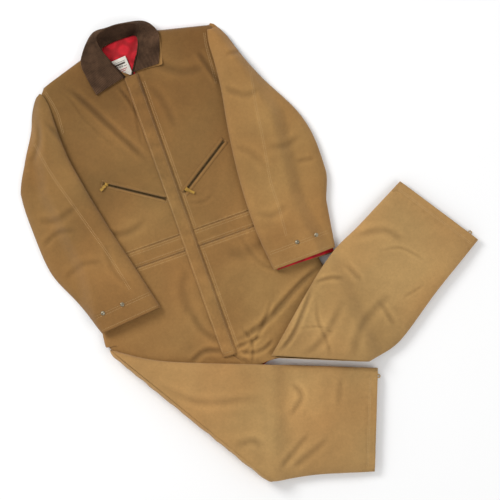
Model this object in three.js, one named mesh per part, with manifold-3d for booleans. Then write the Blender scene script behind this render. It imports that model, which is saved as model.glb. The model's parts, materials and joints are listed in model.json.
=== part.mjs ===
// An insulated duck-canvas work coverall, laid on its back with its arms down its sides and both
// legs folded up over the thighs. Millimetres and radians, +Z up, origin under the middle of the
// laid-out shape. Left and right are the wearer's: the left side lies at +X.
import * as THREE from 'three';
import { mergeVertices } from 'three/addons/utils/BufferGeometryUtils.js';
import Module from 'manifold-3d';

const wasm = await Module();
wasm.setup();
const radians = THREE.MathUtils.degToRad;

// ---------------------------------------------------------------- driving dimensions
const BODY_TURN = radians(19.5);      // the trunk leans this far, head towards -X

// cloth layers of a padded tube lying flat
const TUBE = 26;                      // outside height of trunk, sleeve or leg
const CANVAS = 1.5;
const LINING = 4;                     // quilted lining with its batting
const GAP = 0.3;                      // between pieces that touch
const POCKET_ROOM = 4.7;              // between front canvas and front lining, for bags and sliders
const BAG = 1.2;                      // pocket bag and fly underlap cloth
const FLY_LINING_IN = 6;              // thigh lining stands back this far from the fly's slot
const SEAM = GAP / 2;                 // each of two neighbours gives up half the gap
const FOLD_TRIM = 0.5;                // cloth stops this short of a fold line
const FOLD_SLOPE = radians(45);       // a folded leg thins towards its fold at this slope
const BELOW_CUT = -20;                // how far a cutter reaches past an open edge
const SEAM_PAST = 1;                  // and past a slot's end

// trunk, measured from the pit of the neck: x to the wearer's left, y towards the head
const NECK_HALF = 58;
const NECK_RISE = 90;                 // shoulder seam's inner end above the pit of the neck
const NAPE_RISE = 97;
const SHOULDER_HALF = 232;
const SHOULDER_RISE = 46;
const CHEST_HALF = 300;
const CHEST_DOWN = 210;
const WAIST_HALF = 272;
const WAIST_DOWN = 422;
const BAND_HEIGHT = 43;
const BAND_FLARE = 3;                 // the waistband's lower edge is this much wider each side
const HIP_HALF = 297;
const HIP_DOWN = 618;
const FLY_HALF = 8;                   // half the slot that the main zip fills
const FLY_DOWN = 755;
const FLY_UNDERLAP = 4;               // underlap past the slot, each side
const CROTCH = [40, -810];
const INNER_THIGH = [76, -816];       // where the left leg leaves the crotch

// sleeves: share of the length, then the reach towards -X and +X of the sleeve's own line
const SLEEVE_LENGTH = 630;
const SLEEVES = {
  left: {
    side: 1, turn: radians(1),
    west: [[0, -20], [0.21, -31], [0.43, -56], [0.63, -72], [0.83, -77], [0.99, -69]],
    east: [[0, 14], [0.21, 55], [0.47, 128], [0.7, 144], [0.81, 120], [1, 99]],
    snaps: [11, 63],
  },
  right: {
    side: -1, turn: radians(4.8),
    west: [[0, -30], [0.13, -67], [0.25, -120], [0.35, -159], [0.52, -171], [0.7, -171], [0.86, -138], [1.02, -113]],
    east: [[0, -4], [0.26, -10], [0.42, -2], [0.62, 13], [0.79, 30], [0.99, 50]],
    snaps: [-89, -35],
  },
};
const SNAP_FROM_CUFF = 45;
const SNAP = { radius: 5, post: 1.6, rim: 0.8, shoulder: 1.8, shoulderAt: 3.5, crest: 2.1 };
const SNAP_CUT_HALF = 9;              // half the block of cloth that a snap's hole is cut in

// legs: the fold line and the lower leg that lies back over the thigh
const LEGS = {
  right: { splay: radians(-5.8), foldAt: [-147.6, -866], foldTurn: radians(-58.5), foldHalf: 265.6,
           length: 471, hemSouth: 135, hemNorth: 135, south: [], north: [], zipSide: 1 },
  left: { splay: radians(12.5), foldAt: [226.2, -846.6], foldTurn: radians(-21.9), foldHalf: 149.35,
          length: 475, hemSouth: 122, hemNorth: 118, south: [[148, -123]], north: [[193, 149]], zipSide: -1 },
};
const LEG_DROP_PAST = { right: [4, 0], left: [7, 2] };   // its drop line ends this far past the thigh's corner
const LEG_ZIP_INSET = 22;             // from the outer seam
const LEG_ZIP_LENGTH = 225;
const LEG_REST = 6.5;                 // a lower leg's underside above the floor, on its zip slider

// where upper layers bend down off the trunk
const SIDE_MARGIN = 10;
const THIGH_MARGIN = 2;
const SLEEVE_RUN = 40;
const LEG_RUN = 45;
const BEND_STEPS = 4;
const FAR = 1500;

// collar and label
const COLLAR_LEAF = [[4, 2], [98, -8], [112, 62], [84, 112], [52, 96]];
const COLLAR_CLOTH = 3;
const COLLAR_STAND_HALF = 48;
const COLLAR_RISE = 28;               // its crest above the trunk's top
const COLLAR_TENT = { footNear: -7, footFar: -2, crestNear: 12, crestFar: 17, slopeAt: 15, slopeDown: 6,
                      hemNear: 36, hemFar: 40.5, hemLow: 8, hemHigh: 6 };   // past the nape; hem below the trunk's top
const LABEL = { west: -48, east: 8, south: 0, north: 50, thick: 0.8 };

// placket over the main zip
const PLACKET_WEST = -22;
const PLACKET_EAST = 14;
const PLACKET_TOP = -14;
const PLACKET_SHORT = 5;              // it ends this far above the fly's end
const PLACKET_LIFT = 7.5;             // clear height for the slider beneath
const PLACKET_CLOTH = 2.2;
const PLACKET_FOOT = 3;

// zips: a chain in two halves with a slot between, in which the slider's post runs
const CHAIN = { slot: 0.8, bead: 2.8, height: 1.25, tape: 0.45, stop: 3 };
const TAPE_REACH = FLY_HALF - GAP;    // main zip
const SIDE_TAPE_REACH = 5.7;          // pocket and leg zips
const MAIN_ZIP_TOP = -6;
const POCKET_INNER = [27, -322];
const POCKET_RISE = radians(33.1);
const POCKET_ZIP_LENGTH = 161;
const POCKET_BAG_DEPTH = 78;
const POCKET_BAG_MARGIN = 3;          // bag's sides stand this far in from the zip's ends
const POCKET_BAG_OVER = { outer: 9, inner: 4 };   // how far the bag rises past the zip
const POCKET_PARKED_OUT = 'right';    // this side's slider stands at the zip's outer end
const POCKET_PULL_TURN = { right: radians(59), left: radians(-79) };
const SLIDER = { half: 4.5, wide: 4.2, under: 3.3, upper: 3.1, clear: 1.75, post: 0.5, postHalf: 1.2 };
const CROWN = { half: 4, wide: 1, sunk: 0.5, top: 6.3, windowHalf: 2.5, windowLow: 3.5, windowHigh: 5.5 };
const PULL_AXIS = 4.5;                // above the chain's middle
const PULL = { bar: 0.6, armIn: 1.5, armOut: 2.7, armPast: 2, tabWide: 3.6, tabPast: 1 };
const MAIN_PULL = 18;
const POCKET_PULL = 22;
const RING = { at: 12.5, outer: 5, inner: 3 };
const SLIDER_PARK = 7.5;              // slider's middle from the end of its zip
const MAIN_SLIDER_PARK = 22.5;

// ---------------------------------------------------------------- worked out from them
const UPPER_LEVEL = TUBE + GAP;       // sleeves and lower legs lie on the trunk
const BAND_LOWER_DOWN = WAIST_DOWN + BAND_HEIGHT;
const CLOTH_MIDDLE = TUBE - CANVAS / 2;
const POCKET_ZIP_LEVEL = TUBE - CHAIN.height;   // its chain stays under a sleeve lying on the canvas
const FRONT_LINING_TOP = TUBE - CANVAS - POCKET_ROOM - GAP;
const BAG_TOP = TUBE - CANVAS - POCKET_ROOM + BAG;
const FLY_UNDERLAP_HALF = FLY_HALF + FLY_UNDERLAP;

// ---------------------------------------------------------------- materials
const cloth = (color, roughness = 0.92) => new THREE.MeshStandardMaterial({ color, roughness, metalness: 0 });
const canvas = cloth('#96703f');
const legCanvas = cloth('#ac8551');
const corduroy = cloth('#43301f', 1);
const quilt = cloth('#971a1e', 0.6);
const pocketing = cloth('#3a3530');
const tape = cloth('#4b3a26');
const label = cloth('#e9e6df', 0.8);
const metal = new THREE.MeshStandardMaterial({ color: '#9a958c', roughness: 0.35, metalness: 1 });

// ---------------------------------------------------------------- plane geometry
const turned = ([x, y], angle) => [
  x * Math.cos(angle) - y * Math.sin(angle),
  x * Math.sin(angle) + y * Math.cos(angle),
];
const sum = (a, b) => [a[0] + b[0], a[1] + b[1]];
const less = (a, b) => [a[0] - b[0], a[1] - b[1]];
const scaled = (a, factor) => [a[0] * factor, a[1] * factor];
const into = (frame, point) => turned(less(point, frame.at), -frame.turn);
const outOf = (frame, point) => sum(turned(point, frame.turn), frame.at);
const unit = (a) => scaled(a, 1 / Math.hypot(...a));
const mirror = ({ points, kinds }) => ({
  points: points.map(([x, y]) => [-x, y]).reverse(),
  kinds: kinds.map((_, i) => kinds[(2 * kinds.length - 2 - i) % kinds.length]),
});

/** Moves each edge of an anticlockwise outline inwards by its own amount. */
function inset(points, amounts) {
  const lines = points.map((point, i) => {
    const along = unit(less(points[(i + 1) % points.length], point));
    const inward = [-along[1], along[0]];
    return { point: sum(point, scaled(inward, amounts[i])), along };
  });
  return lines.map((line, i) => {
    const last = lines[(i + lines.length - 1) % lines.length];
    const cross = last.along[0] * line.along[1] - last.along[1] * line.along[0];
    if (Math.abs(cross) < 1e-6) return line.point;
    const apart = less(line.point, last.point);
    const reach = (apart[0] * line.along[1] - apart[1] * line.along[0]) / cross;
    return sum(last.point, scaled(last.along, reach));
  });
}

/** An outline whose edges are named by kind, moved in by the amount given for each kind. */
const moved = ({ points, kinds }, amounts) => inset(points, kinds.map((kind) => amounts[kind] ?? amounts.other));

// ---------------------------------------------------------------- solids
function solidOf(geometry) {
  const bare = geometry.clone();
  bare.deleteAttribute('normal');
  bare.deleteAttribute('uv');
  const merged = mergeVertices(bare, 1e-4);
  const vertProperties = new Float32Array(merged.attributes.position.array);
  return new wasm.Manifold(new wasm.Mesh({ numProp: 3, vertProperties, triVerts: new Uint32Array(merged.index.array) }));
}

function geometryOf(solid) {
  const { vertProperties, triVerts } = solid.getMesh();
  const geometry = new THREE.BufferGeometry();
  geometry.setAttribute('position', new THREE.BufferAttribute(vertProperties, 3));
  geometry.setIndex(new THREE.BufferAttribute(triVerts, 1));
  geometry.computeVertexNormals();
  return geometry;
}

function prism(points, low, high) {
  const shape = new THREE.Shape(points.map(([x, y]) => new THREE.Vector2(x, y)));
  const body = new THREE.ExtrudeGeometry(shape, { depth: high - low, bevelEnabled: false });
  return solidOf(body.translate(0, 0, low));
}

const block = (west, east, south, north, low, high) => prism(
  [[west, south], [east, south], [east, north], [west, north]], low, high);

/** A level band that bends down by `fall` past the line through `from`, square to `along`. */
function bentBand({ from, along, run, fall }, low, high) {
  const course = [[-FAR, 0]];
  for (let i = 0; i <= BEND_STEPS; i++) {
    const share = i / BEND_STEPS;
    course.push([run * share, -fall * (1 - Math.cos(Math.PI * share)) / 2]);
  }
  course.push([FAR, -fall]);
  const edge = (level) => course.map(([reach, drop]) => new THREE.Vector2(reach, drop + level));
  const section = new THREE.Shape([...edge(low), ...edge(high).reverse()]);
  const band = new THREE.ExtrudeGeometry(section, { depth: 2 * FAR, bevelEnabled: false });
  const outward = new THREE.Vector3(along[0], along[1], 0);
  const up = new THREE.Vector3(0, 0, 1);
  const across = outward.clone().cross(up);
  const place = new THREE.Matrix4().makeBasis(outward, up, across);
  place.setPosition(from[0] - across.x * FAR, from[1] - across.y * FAR, 0);
  return solidOf(band.applyMatrix4(place));
}

const slab = (points, low, high, bend) => prism(points, -FAR, FAR).intersect(bentBand(bend, low, high));

/** All that lies over a slope that rises into a leg from its fold line, the slope set in by `deep`. */
function overFold([start, end], deep) {
  const along = unit(less(end, start));
  const slope = [Math.cos(FOLD_SLOPE), Math.sin(FOLD_SLOPE)];
  const foot = sum([FOLD_TRIM, 0], scaled([slope[1], -slope[0]], deep));
  const low = sum(foot, scaled(slope, -2 * TUBE));
  const high = sum(foot, scaled(slope, 3 * TUBE));
  const section = [low, high, [high[0], 4 * TUBE], [low[0], 4 * TUBE]].map(([x, z]) => new THREE.Vector2(x, z));
  const length = Math.hypot(...less(end, start)) + 4 * TUBE;
  const body = new THREE.ExtrudeGeometry(new THREE.Shape(section), { depth: length, bevelEnabled: false });
  const place = new THREE.Matrix4().makeBasis(
    new THREE.Vector3(-along[1], along[0], 0), new THREE.Vector3(0, 0, 1), new THREE.Vector3(...along, 0));
  place.setPosition(start[0] - 2 * TUBE * along[0], start[1] - 2 * TUBE * along[1], 0);
  return solidOf(body.applyMatrix4(place));
}

/** Front canvas turned down along its closed edges until it meets the back. */
function frontPanel(outline) {
  const room = moved(outline, { closed: CANVAS + SEAM, fold: CANVAS + FOLD_TRIM, other: BELOW_CUT });
  return prism(trimmed(outline), CANVAS + GAP, TUBE).subtract(prism(room, 0, TUBE - CANVAS));
}

const trimmed = (outline) => moved(outline, { fold: FOLD_TRIM, other: SEAM });

/** A bent padded tube: canvas above with its sides turned down, canvas below, quilt within. */
function tube(outline, bend, fold) {
  const quiltIn = CANVAS + GAP;
  const roomIn = quiltIn + LINING;
  const hollow = moved(outline, { closed: CANVAS, other: BELOW_CUT });
  const sleeve = moved(outline, { closed: quiltIn, fold: FOLD_TRIM, other: GAP });
  const room = moved(outline, { closed: roomIn, other: BELOW_CUT });
  const whole = moved(outline, { fold: FOLD_TRIM, other: 0 });
  const sloped = (solid, deep) => (fold ? solid.subtract(overFold(fold, deep)) : solid);
  return {
    above: sloped(slab(whole, CANVAS + GAP, TUBE, bend), 0)
      .subtract(sloped(slab(hollow, 0, TUBE - CANVAS, bend), CANVAS)),
    below: sloped(slab(whole, 0, CANVAS, bend), 0),
    within: sloped(slab(sleeve, quiltIn, TUBE - quiltIn, bend), quiltIn)
      .subtract(sloped(slab(room, roomIn, TUBE - roomIn, bend), roomIn)),
  };
}

// ---------------------------------------------------------------- zips
/** Two toothed halves along +X with tapes, joined by a stop at the far end and, if asked, the near. */
function zipChain(length, reach, nearStop) {
  const { slot, bead, height, tape: web, stop } = CHAIN;
  const half = (side) => {
    const section = [[slot, -height], [bead, -height], [bead, -web], [reach, -web],
                     [reach, web], [bead, web], [bead, height], [slot, height]];
    const shape = new THREE.Shape(section.map(([y, z]) => new THREE.Vector2(side * y, z)));
    const body = new THREE.ExtrudeGeometry(shape, { depth: length, bevelEnabled: false });
    const place = new THREE.Matrix4().makeBasis(
      new THREE.Vector3(0, 1, 0), new THREE.Vector3(0, 0, 1), new THREE.Vector3(1, 0, 0));
    return solidOf(body.applyMatrix4(place));
  };
  const ends = [block(length - stop, length, -bead, bead, -height, height)];
  if (nearStop) ends.push(block(0, stop, -bead, bead, -height, height));
  return ends.reduce((all, end) => all.add(end), half(1).add(half(-1)));
}

/** Slider about the chain's middle; its crown is turned to the way its pull lies. */
function zipSlider(crownTurn) {
  const { half, wide, under, upper, clear, post, postHalf } = SLIDER;
  const lip = { inner: CHAIN.bead + GAP, low: CHAIN.tape + GAP };
  let body = block(-half, half, -wide, wide, -under, -clear).add(block(-half, half, -wide, wide, clear, upper));
  body = body.add(block(-postHalf, postHalf, -post, post, -under, upper));
  for (const side of [-1, 1]) {
    const [south, north] = side > 0 ? [lip.inner, wide] : [-wide, -lip.inner];
    body = body.add(block(-half, half, south, north, lip.low, upper));
  }
  const frame = { at: [0, 0], turn: crownTurn };
  const piece = (west, east, low, high) => prism(
    [[west, -CROWN.wide], [east, -CROWN.wide], [east, CROWN.wide], [west, CROWN.wide]]
      .map((point) => outOf(frame, point)), low, high);
  const crown = piece(-CROWN.half, CROWN.half, upper - CROWN.sunk, CROWN.top)
    .subtract(piece(-CROWN.windowHalf, CROWN.windowHalf, CROWN.windowLow, CROWN.windowHigh));
  return body.add(crown);
}

/** Pull tab about its own axle, lying along +X. */
function zipPull(length, ring) {
  const { bar, armIn, armOut, armPast, tabWide, tabPast } = PULL;
  let body = block(-bar, bar, -armOut, armOut, -bar, bar);
  for (const side of [-1, 1]) {
    const [south, north] = side > 0 ? [armIn, armOut] : [-armOut, -armIn];
    body = body.add(block(-bar, CROWN.half + armPast, south, north, -bar, bar));
  }
  if (!ring) return body.add(block(CROWN.half + tabPast, length, -tabWide, tabWide, -bar, bar));
  const hoop = new THREE.LatheGeometry(
    [[ring.inner, -bar], [ring.outer, -bar], [ring.outer, bar], [ring.inner, bar], [ring.inner, -bar]]
      .map(([x, y]) => new THREE.Vector2(x, y)), 16);
  hoop.rotateX(Math.PI / 2).translate(ring.at, 0, 0);
  return body.add(block(CROWN.half + tabPast, ring.at - ring.inner - bar / 2, -tabWide, tabWide, -bar, bar)).add(solidOf(hoop));
}

// ---------------------------------------------------------------- scene graph
const suit = new THREE.Group();
const trunk = new THREE.Group();
trunk.rotation.z = BODY_TURN;
suit.add(trunk);

function put(group, name, solid, material) {
  const mesh = new THREE.Mesh(geometryOf(solid), material);
  mesh.name = name;
  group.add(mesh);
}

function subgroup(parent, x, y, z, turn = 0) {
  const group = new THREE.Group();
  group.position.set(x, y, z);
  group.rotation.z = turn;
  parent.add(group);
  return group;
}

/** The zip's chain, slider and pull, in a group whose +X runs along the zip and +Z out of it. */
function addZip(group, names, { length, reach, nearStop, park, pullTurn, pullLength, ring }) {
  put(group, names.chain, zipChain(length, reach, nearStop), tape);
  const runner = subgroup(group, park, 0, 0);
  put(runner, names.slider, zipSlider(pullTurn), metal);
  const swing = subgroup(runner, 0, 0, PULL_AXIS, pullTurn);
  put(swing, names.pull, zipPull(pullLength, ring), metal);
}

// ---------------------------------------------------------------- leg frames
const legFrame = ({ splay, foldAt, foldTurn }) => {
  const thigh = [Math.sin(splay), -Math.cos(splay)];
  const crease = turned([1, 0], foldTurn);
  const along = thigh[0] * crease[0] + thigh[1] * crease[1];
  const lower = less(scaled(crease, 2 * along), thigh);
  return { at: foldAt, turn: Math.atan2(lower[1], lower[0]) };
};
const foldEnd = ({ foldAt, foldTurn, foldHalf }, side) => sum(foldAt, turned([side * foldHalf, 0], foldTurn));
const RIGHT_FOLD = [foldEnd(LEGS.right, -1), foldEnd(LEGS.right, 1)];
const LEFT_FOLD = [foldEnd(LEGS.left, -1), foldEnd(LEGS.left, 1)];

// ---------------------------------------------------------------- trunk
const tip = [-SHOULDER_HALF, SHOULDER_RISE];
const chest = [-CHEST_HALF, -CHEST_DOWN];
const waist = [-WAIST_HALF, -WAIST_DOWN];
const bandEnd = [-WAIST_HALF - BAND_FLARE, -BAND_LOWER_DOWN];
const neckline = [[-FLY_HALF, 0], [-NECK_HALF * 0.6, NECK_RISE / 3], [-NECK_HALF, NECK_RISE]];

const rightFront = {
  points: [tip, chest, waist, [-FLY_HALF, -WAIST_DOWN], ...neckline],
  kinds: ['closed', 'closed', 'open', 'open', 'open', 'open', 'closed'],
};
const rightFrontLining = {
  points: [tip, chest, waist, bandEnd, [-FLY_HALF, -BAND_LOWER_DOWN], ...neckline],
  kinds: ['closed', 'closed', 'closed', 'open', 'open', 'open', 'open', 'closed'],
};
const rightBand = {
  points: [waist, bandEnd, [-FLY_HALF, -BAND_LOWER_DOWN], [-FLY_HALF, -WAIST_DOWN]],
  kinds: ['closed', 'open', 'open', 'open'],
};
const nape = [[-NECK_HALF, NECK_RISE], [-NECK_HALF / 2, NAPE_RISE]];
const across = (points) => [...points, ...points.map(([x, y]) => [-x, y]).reverse()];
const back = {
  points: across([nape[1], nape[0], tip, chest, waist]),
  kinds: ['closed', 'closed', 'closed', 'closed', 'open', 'closed', 'closed', 'closed', 'closed', 'closed'],
};
const backLining = {
  points: across([nape[1], nape[0], tip, chest, waist, bandEnd]),
  kinds: ['closed', 'closed', 'closed', 'closed', 'closed', 'open', 'closed', 'closed', 'closed', 'closed',
          'closed', 'closed'],
};

const pocketFrame = (side) => ({
  at: [side * POCKET_INNER[0], POCKET_INNER[1]],
  turn: side > 0 ? POCKET_RISE : Math.PI - POCKET_RISE,
});
const pocketSlot = (side) => {
  const frame = pocketFrame(side);
  const reach = SIDE_TAPE_REACH + GAP;
  return prism([[-GAP, -reach], [POCKET_ZIP_LENGTH + GAP, -reach], [POCKET_ZIP_LENGTH + GAP, reach], [-GAP, reach]]
    .map((point) => outOf(frame, point)), 0, TUBE + 1);
};
const pocketBag = () => {
  const outer = outOf(pocketFrame(-1), [POCKET_ZIP_LENGTH, 0]);
  const [inner, level] = [-POCKET_INNER[0] + POCKET_BAG_MARGIN, POCKET_INNER[1]];
  const west = outer[0] - POCKET_BAG_MARGIN;
  return [[west, outer[1] + POCKET_BAG_OVER.outer], [west, level - POCKET_BAG_DEPTH],
          [inner, level - POCKET_BAG_DEPTH], [inner, level + POCKET_BAG_OVER.inner]];
};

function addTrunk() {
  put(trunk, 'back_panel', prism(trimmed(back), 0, CANVAS), canvas);
  const quiltEdge = { closed: CANVAS + GAP, other: SEAM };
  const quiltLow = CANVAS + GAP;
  put(trunk, 'back_lining', prism(moved(backLining, quiltEdge), quiltLow, quiltLow + LINING), quilt);
  put(trunk, 'waistband_back', prism(trimmed({
    points: across([waist, bandEnd]), kinds: ['closed', 'open', 'closed', 'open'],
  }), 0, CANVAS), canvas);
  for (const [name, side] of [['right', -1], ['left', 1]]) {
    const own = (outline) => (side < 0 ? outline : mirror(outline));
    put(trunk, `front_panel_${name}`, frontPanel(own(rightFront)).subtract(pocketSlot(side)), canvas);
    put(trunk, `front_lining_${name}`,
      prism(moved(own(rightFrontLining), quiltEdge), FRONT_LINING_TOP - LINING, FRONT_LINING_TOP), quilt);
    put(trunk, `waistband_front_${name}`, frontPanel(own(rightBand)), canvas);
    const bag = { points: pocketBag(), kinds: ['open', 'open', 'open', 'open'] };
    put(trunk, `pocket_bag_${name}`, prism(own(bag).points, BAG_TOP - BAG, BAG_TOP), pocketing);
    const frame = pocketFrame(side);
    const zip = subgroup(trunk, ...frame.at, POCKET_ZIP_LEVEL, frame.turn);
    addZip(zip, { chain: `pocket_zip_${name}`, slider: `pocket_slider_${name}`, pull: `pocket_pull_${name}` }, {
      length: POCKET_ZIP_LENGTH, reach: SIDE_TAPE_REACH, nearStop: true,
      park: name === POCKET_PARKED_OUT ? POCKET_ZIP_LENGTH - SLIDER_PARK : SLIDER_PARK,
      pullTurn: POCKET_PULL_TURN[name], pullLength: POCKET_PULL,
    });
  }
  put(trunk, 'fly_underlap',
    block(-FLY_UNDERLAP_HALF, FLY_UNDERLAP_HALF, -FLY_DOWN, MAIN_ZIP_TOP, BAG_TOP - BAG, BAG_TOP), canvas);
  const mainZip = subgroup(trunk, 0, MAIN_ZIP_TOP, CLOTH_MIDDLE, -Math.PI / 2);
  addZip(mainZip, { chain: 'main_zip', slider: 'main_zip_slider', pull: 'main_zip_pull' }, {
    length: FLY_DOWN + MAIN_ZIP_TOP, reach: TAPE_REACH, nearStop: false,
    park: MAIN_SLIDER_PARK, pullTurn: 0, pullLength: MAIN_PULL,
  });
  const placketEnd = -FLY_DOWN + PLACKET_SHORT;
  const lift = TUBE + PLACKET_LIFT;
  put(trunk, 'placket', block(PLACKET_WEST, PLACKET_EAST, placketEnd, PLACKET_TOP, lift, lift + PLACKET_CLOTH)
    .add(block(PLACKET_EAST - PLACKET_FOOT, PLACKET_EAST, placketEnd, PLACKET_TOP, TUBE + GAP, lift + PLACKET_CLOTH)), canvas);
  const labelLow = quiltLow + LINING + GAP;
  put(trunk, 'neck_label',
    block(LABEL.west, LABEL.east, LABEL.south, LABEL.north, labelLow, labelLow + LABEL.thick), label);
}

// ---------------------------------------------------------------- seat and thighs
const [F1, F2] = RIGHT_FOLD;
const [G1, G2] = LEFT_FOLD;
const hip = [-HIP_HALF, -HIP_DOWN];
const flyEnd = [-FLY_HALF, -FLY_DOWN];
const other = ([x, y]) => [-x, y];
const thighs = {
  right: {
    points: [bandEnd, hip, F1, F2, CROTCH, flyEnd, [-FLY_HALF, -BAND_LOWER_DOWN]],
    kinds: ['closed', 'closed', 'fold', 'closed', 'centre', 'centre', 'open'],
  },
  left: {
    points: [[FLY_HALF, -BAND_LOWER_DOWN], other(flyEnd), CROTCH, INNER_THIGH, G1, G2, other(hip), other(bandEnd)],
    kinds: ['centre', 'centre', 'closed', 'closed', 'fold', 'closed', 'closed', 'open'],
  },
};
const seats = {
  right: {
    points: [bandEnd, hip, F1, F2, CROTCH, [0, -BAND_LOWER_DOWN]],
    kinds: ['closed', 'closed', 'fold', 'closed', 'open', 'open'],
  },
  left: {
    points: [[0, -BAND_LOWER_DOWN], CROTCH, INNER_THIGH, G1, G2, other(hip), other(bandEnd)],
    kinds: ['open', 'closed', 'closed', 'fold', 'closed', 'closed', 'open'],
  },
};

function addThigh(name) {
  const outline = thighs[name];
  const quiltIn = CANVAS + GAP;
  const roomIn = quiltIn + LINING;
  put(trunk, `thigh_front_${name}`, frontPanel(outline), canvas);
  put(trunk, `seat_panel_${name}`, prism(trimmed(seats[name]), 0, CANVAS), canvas);
  const outside = moved(outline, { closed: quiltIn, fold: quiltIn + FOLD_TRIM, centre: FLY_LINING_IN, other: SEAM });
  const inside = moved(outline,
    { closed: roomIn, fold: roomIn + FOLD_TRIM, centre: FLY_LINING_IN + LINING, other: BELOW_CUT });
  put(trunk, `thigh_lining_${name}`,
    prism(outside, quiltIn, TUBE - quiltIn).subtract(prism(inside, roomIn, TUBE - roomIn)), quilt);
}

// ---------------------------------------------------------------- sleeves
function addSleeve(name) {
  const { side, turn, west, east, snaps } = SLEEVES[name];
  const station = ([share, reach]) => [reach, -share * SLEEVE_LENGTH];
  const points = [...west.map(station), ...east.map(station).reverse()];
  const kinds = points.map((_, i) => (i === west.length - 1 || i === points.length - 1 ? 'open' : 'closed'));
  const frame = { at: [side * SHOULDER_HALF, SHOULDER_RISE], turn };
  const edge = [side * (Math.max(CHEST_HALF, HIP_HALF) + SIDE_MARGIN), SHOULDER_RISE];
  const bend = { from: into(frame, edge), along: turned([side, 0], -turn), run: SLEEVE_RUN, fall: UPPER_LEVEL };
  const sleeve = subgroup(trunk, ...frame.at, UPPER_LEVEL, turn);
  const { above, below, within } = tube({ points, kinds }, bend);
  const cuff = -SLEEVE_LENGTH + SNAP_FROM_CUFF;
  let canvasAbove = above;
  const placedSnaps = snaps.map((reach) => {
    const past = (reach - bend.from[0]) * bend.along[0] + (cuff - bend.from[1]) * bend.along[1];
    return { reach, level: TUBE - fallen(past, bend) };
  });
  for (const { reach } of placedSnaps) {
    const hole = new THREE.CylinderGeometry(SNAP.post + GAP, SNAP.post + GAP, 4 * TUBE, 12);
    canvasAbove = canvasAbove.subtract(solidOf(hole.rotateX(Math.PI / 2).translate(reach, cuff, TUBE)
      ).intersect(block(reach - SNAP_CUT_HALF, reach + SNAP_CUT_HALF, cuff - SNAP_CUT_HALF, cuff + SNAP_CUT_HALF,
        -UPPER_LEVEL, 2 * TUBE)));
  }
  put(sleeve, `sleeve_${name}_upper`, canvasAbove, canvas);
  put(sleeve, `sleeve_${name}_under`, below, canvas);
  put(sleeve, `sleeve_${name}_lining`, within, quilt);
  placedSnaps.forEach(({ reach, level }, i) => {
    const kind = (i === 0) === (side > 0) ? 'inner' : 'outer';
    const snap = subgroup(sleeve, reach, cuff, level);
    put(snap, `cuff_snap_${name}_${kind}`, snapStud(), metal);
  });
}

/** How far a bend has come down at this distance past its line. */
function fallen(past, { run, fall }) {
  const share = THREE.MathUtils.clamp(past / run, 0, 1);
  return fall * (1 - Math.cos(Math.PI * share)) / 2;
}

/** Domed cap with its post, about the canvas's outer face. */
function snapStud() {
  const { radius, post, rim, shoulder, shoulderAt, crest } = SNAP;
  const profile = [[0, -CANVAS], [post, -CANVAS], [post, GAP], [radius, GAP],
                   [radius, GAP + rim], [shoulderAt, GAP + shoulder], [0, GAP + crest]];
  const stud = new THREE.LatheGeometry(profile.map(([x, y]) => new THREE.Vector2(x, y)), 16);
  return solidOf(stud.rotateX(Math.PI / 2));
}

// ---------------------------------------------------------------- lower legs
function addLeg(name) {
  const leg = LEGS[name];
  const frame = legFrame(leg);
  const [start, end] = [-1, 1].map((side) => into(frame, foldEnd(leg, side)));
  const points = [start, end, ...leg.south, [leg.length, -leg.hemSouth], [leg.length, leg.hemNorth], ...leg.north];
  const hemEdge = 2 + leg.south.length;
  const kinds = points.map((_, i) => (i === 0 ? 'fold' : i === hemEdge ? 'open' : 'closed'));
  const edge = name === 'right'
    ? [F2, sum(INNER_THIGH, LEG_DROP_PAST.right)]
    : [G2, sum(other(hip), LEG_DROP_PAST.left)];
  const [near, far] = edge.map((point) => into(frame, point));
  const line = unit(less(far, near));
  const outward = [line[1], -line[0]];
  const bend = {
    from: sum(near, scaled(outward, THIGH_MARGIN)), along: outward, run: LEG_RUN, fall: UPPER_LEVEL - LEG_REST,
  };
  const lower = subgroup(trunk, ...frame.at, UPPER_LEVEL, frame.turn);
  const { above, below, within } = tube({ points, kinds }, bend, [start, end]);
  const zipY = leg.zipSide * ((leg.zipSide > 0 ? leg.hemNorth : leg.hemSouth) - LEG_ZIP_INSET);
  const reach = SIDE_TAPE_REACH + GAP;
  const zipEnd = leg.length - LEG_ZIP_LENGTH;
  const slotEnd = leg.length + SEAM_PAST;
  const slot = block(zipEnd - GAP, slotEnd, zipY - reach, zipY + reach, -UPPER_LEVEL, CANVAS + GAP / 2);
  put(lower, `leg_${name}_back`, above, legCanvas);
  put(lower, `leg_${name}_front`, below.subtract(slot), legCanvas);
  const liningSlot = block(zipEnd - GAP, slotEnd, zipY - reach, zipY + reach,
    -UPPER_LEVEL, -bend.fall + CANVAS + GAP + LINING + SEAM_PAST);
  put(lower, `leg_${name}_lining`, within.subtract(liningSlot), quilt);
  const zip = subgroup(lower, leg.length - GAP, zipY, -bend.fall + CANVAS / 2);
  zip.rotation.y = Math.PI;
  addZip(zip, { chain: `leg_zip_${name}`, slider: `leg_zip_slider_${name}`, pull: `leg_zip_pull_${name}` }, {
    length: LEG_ZIP_LENGTH - GAP, reach: SIDE_TAPE_REACH, nearStop: true,
    park: SLIDER_PARK, pullTurn: Math.PI, pullLength: 0, ring: RING,
  });
}

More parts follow.
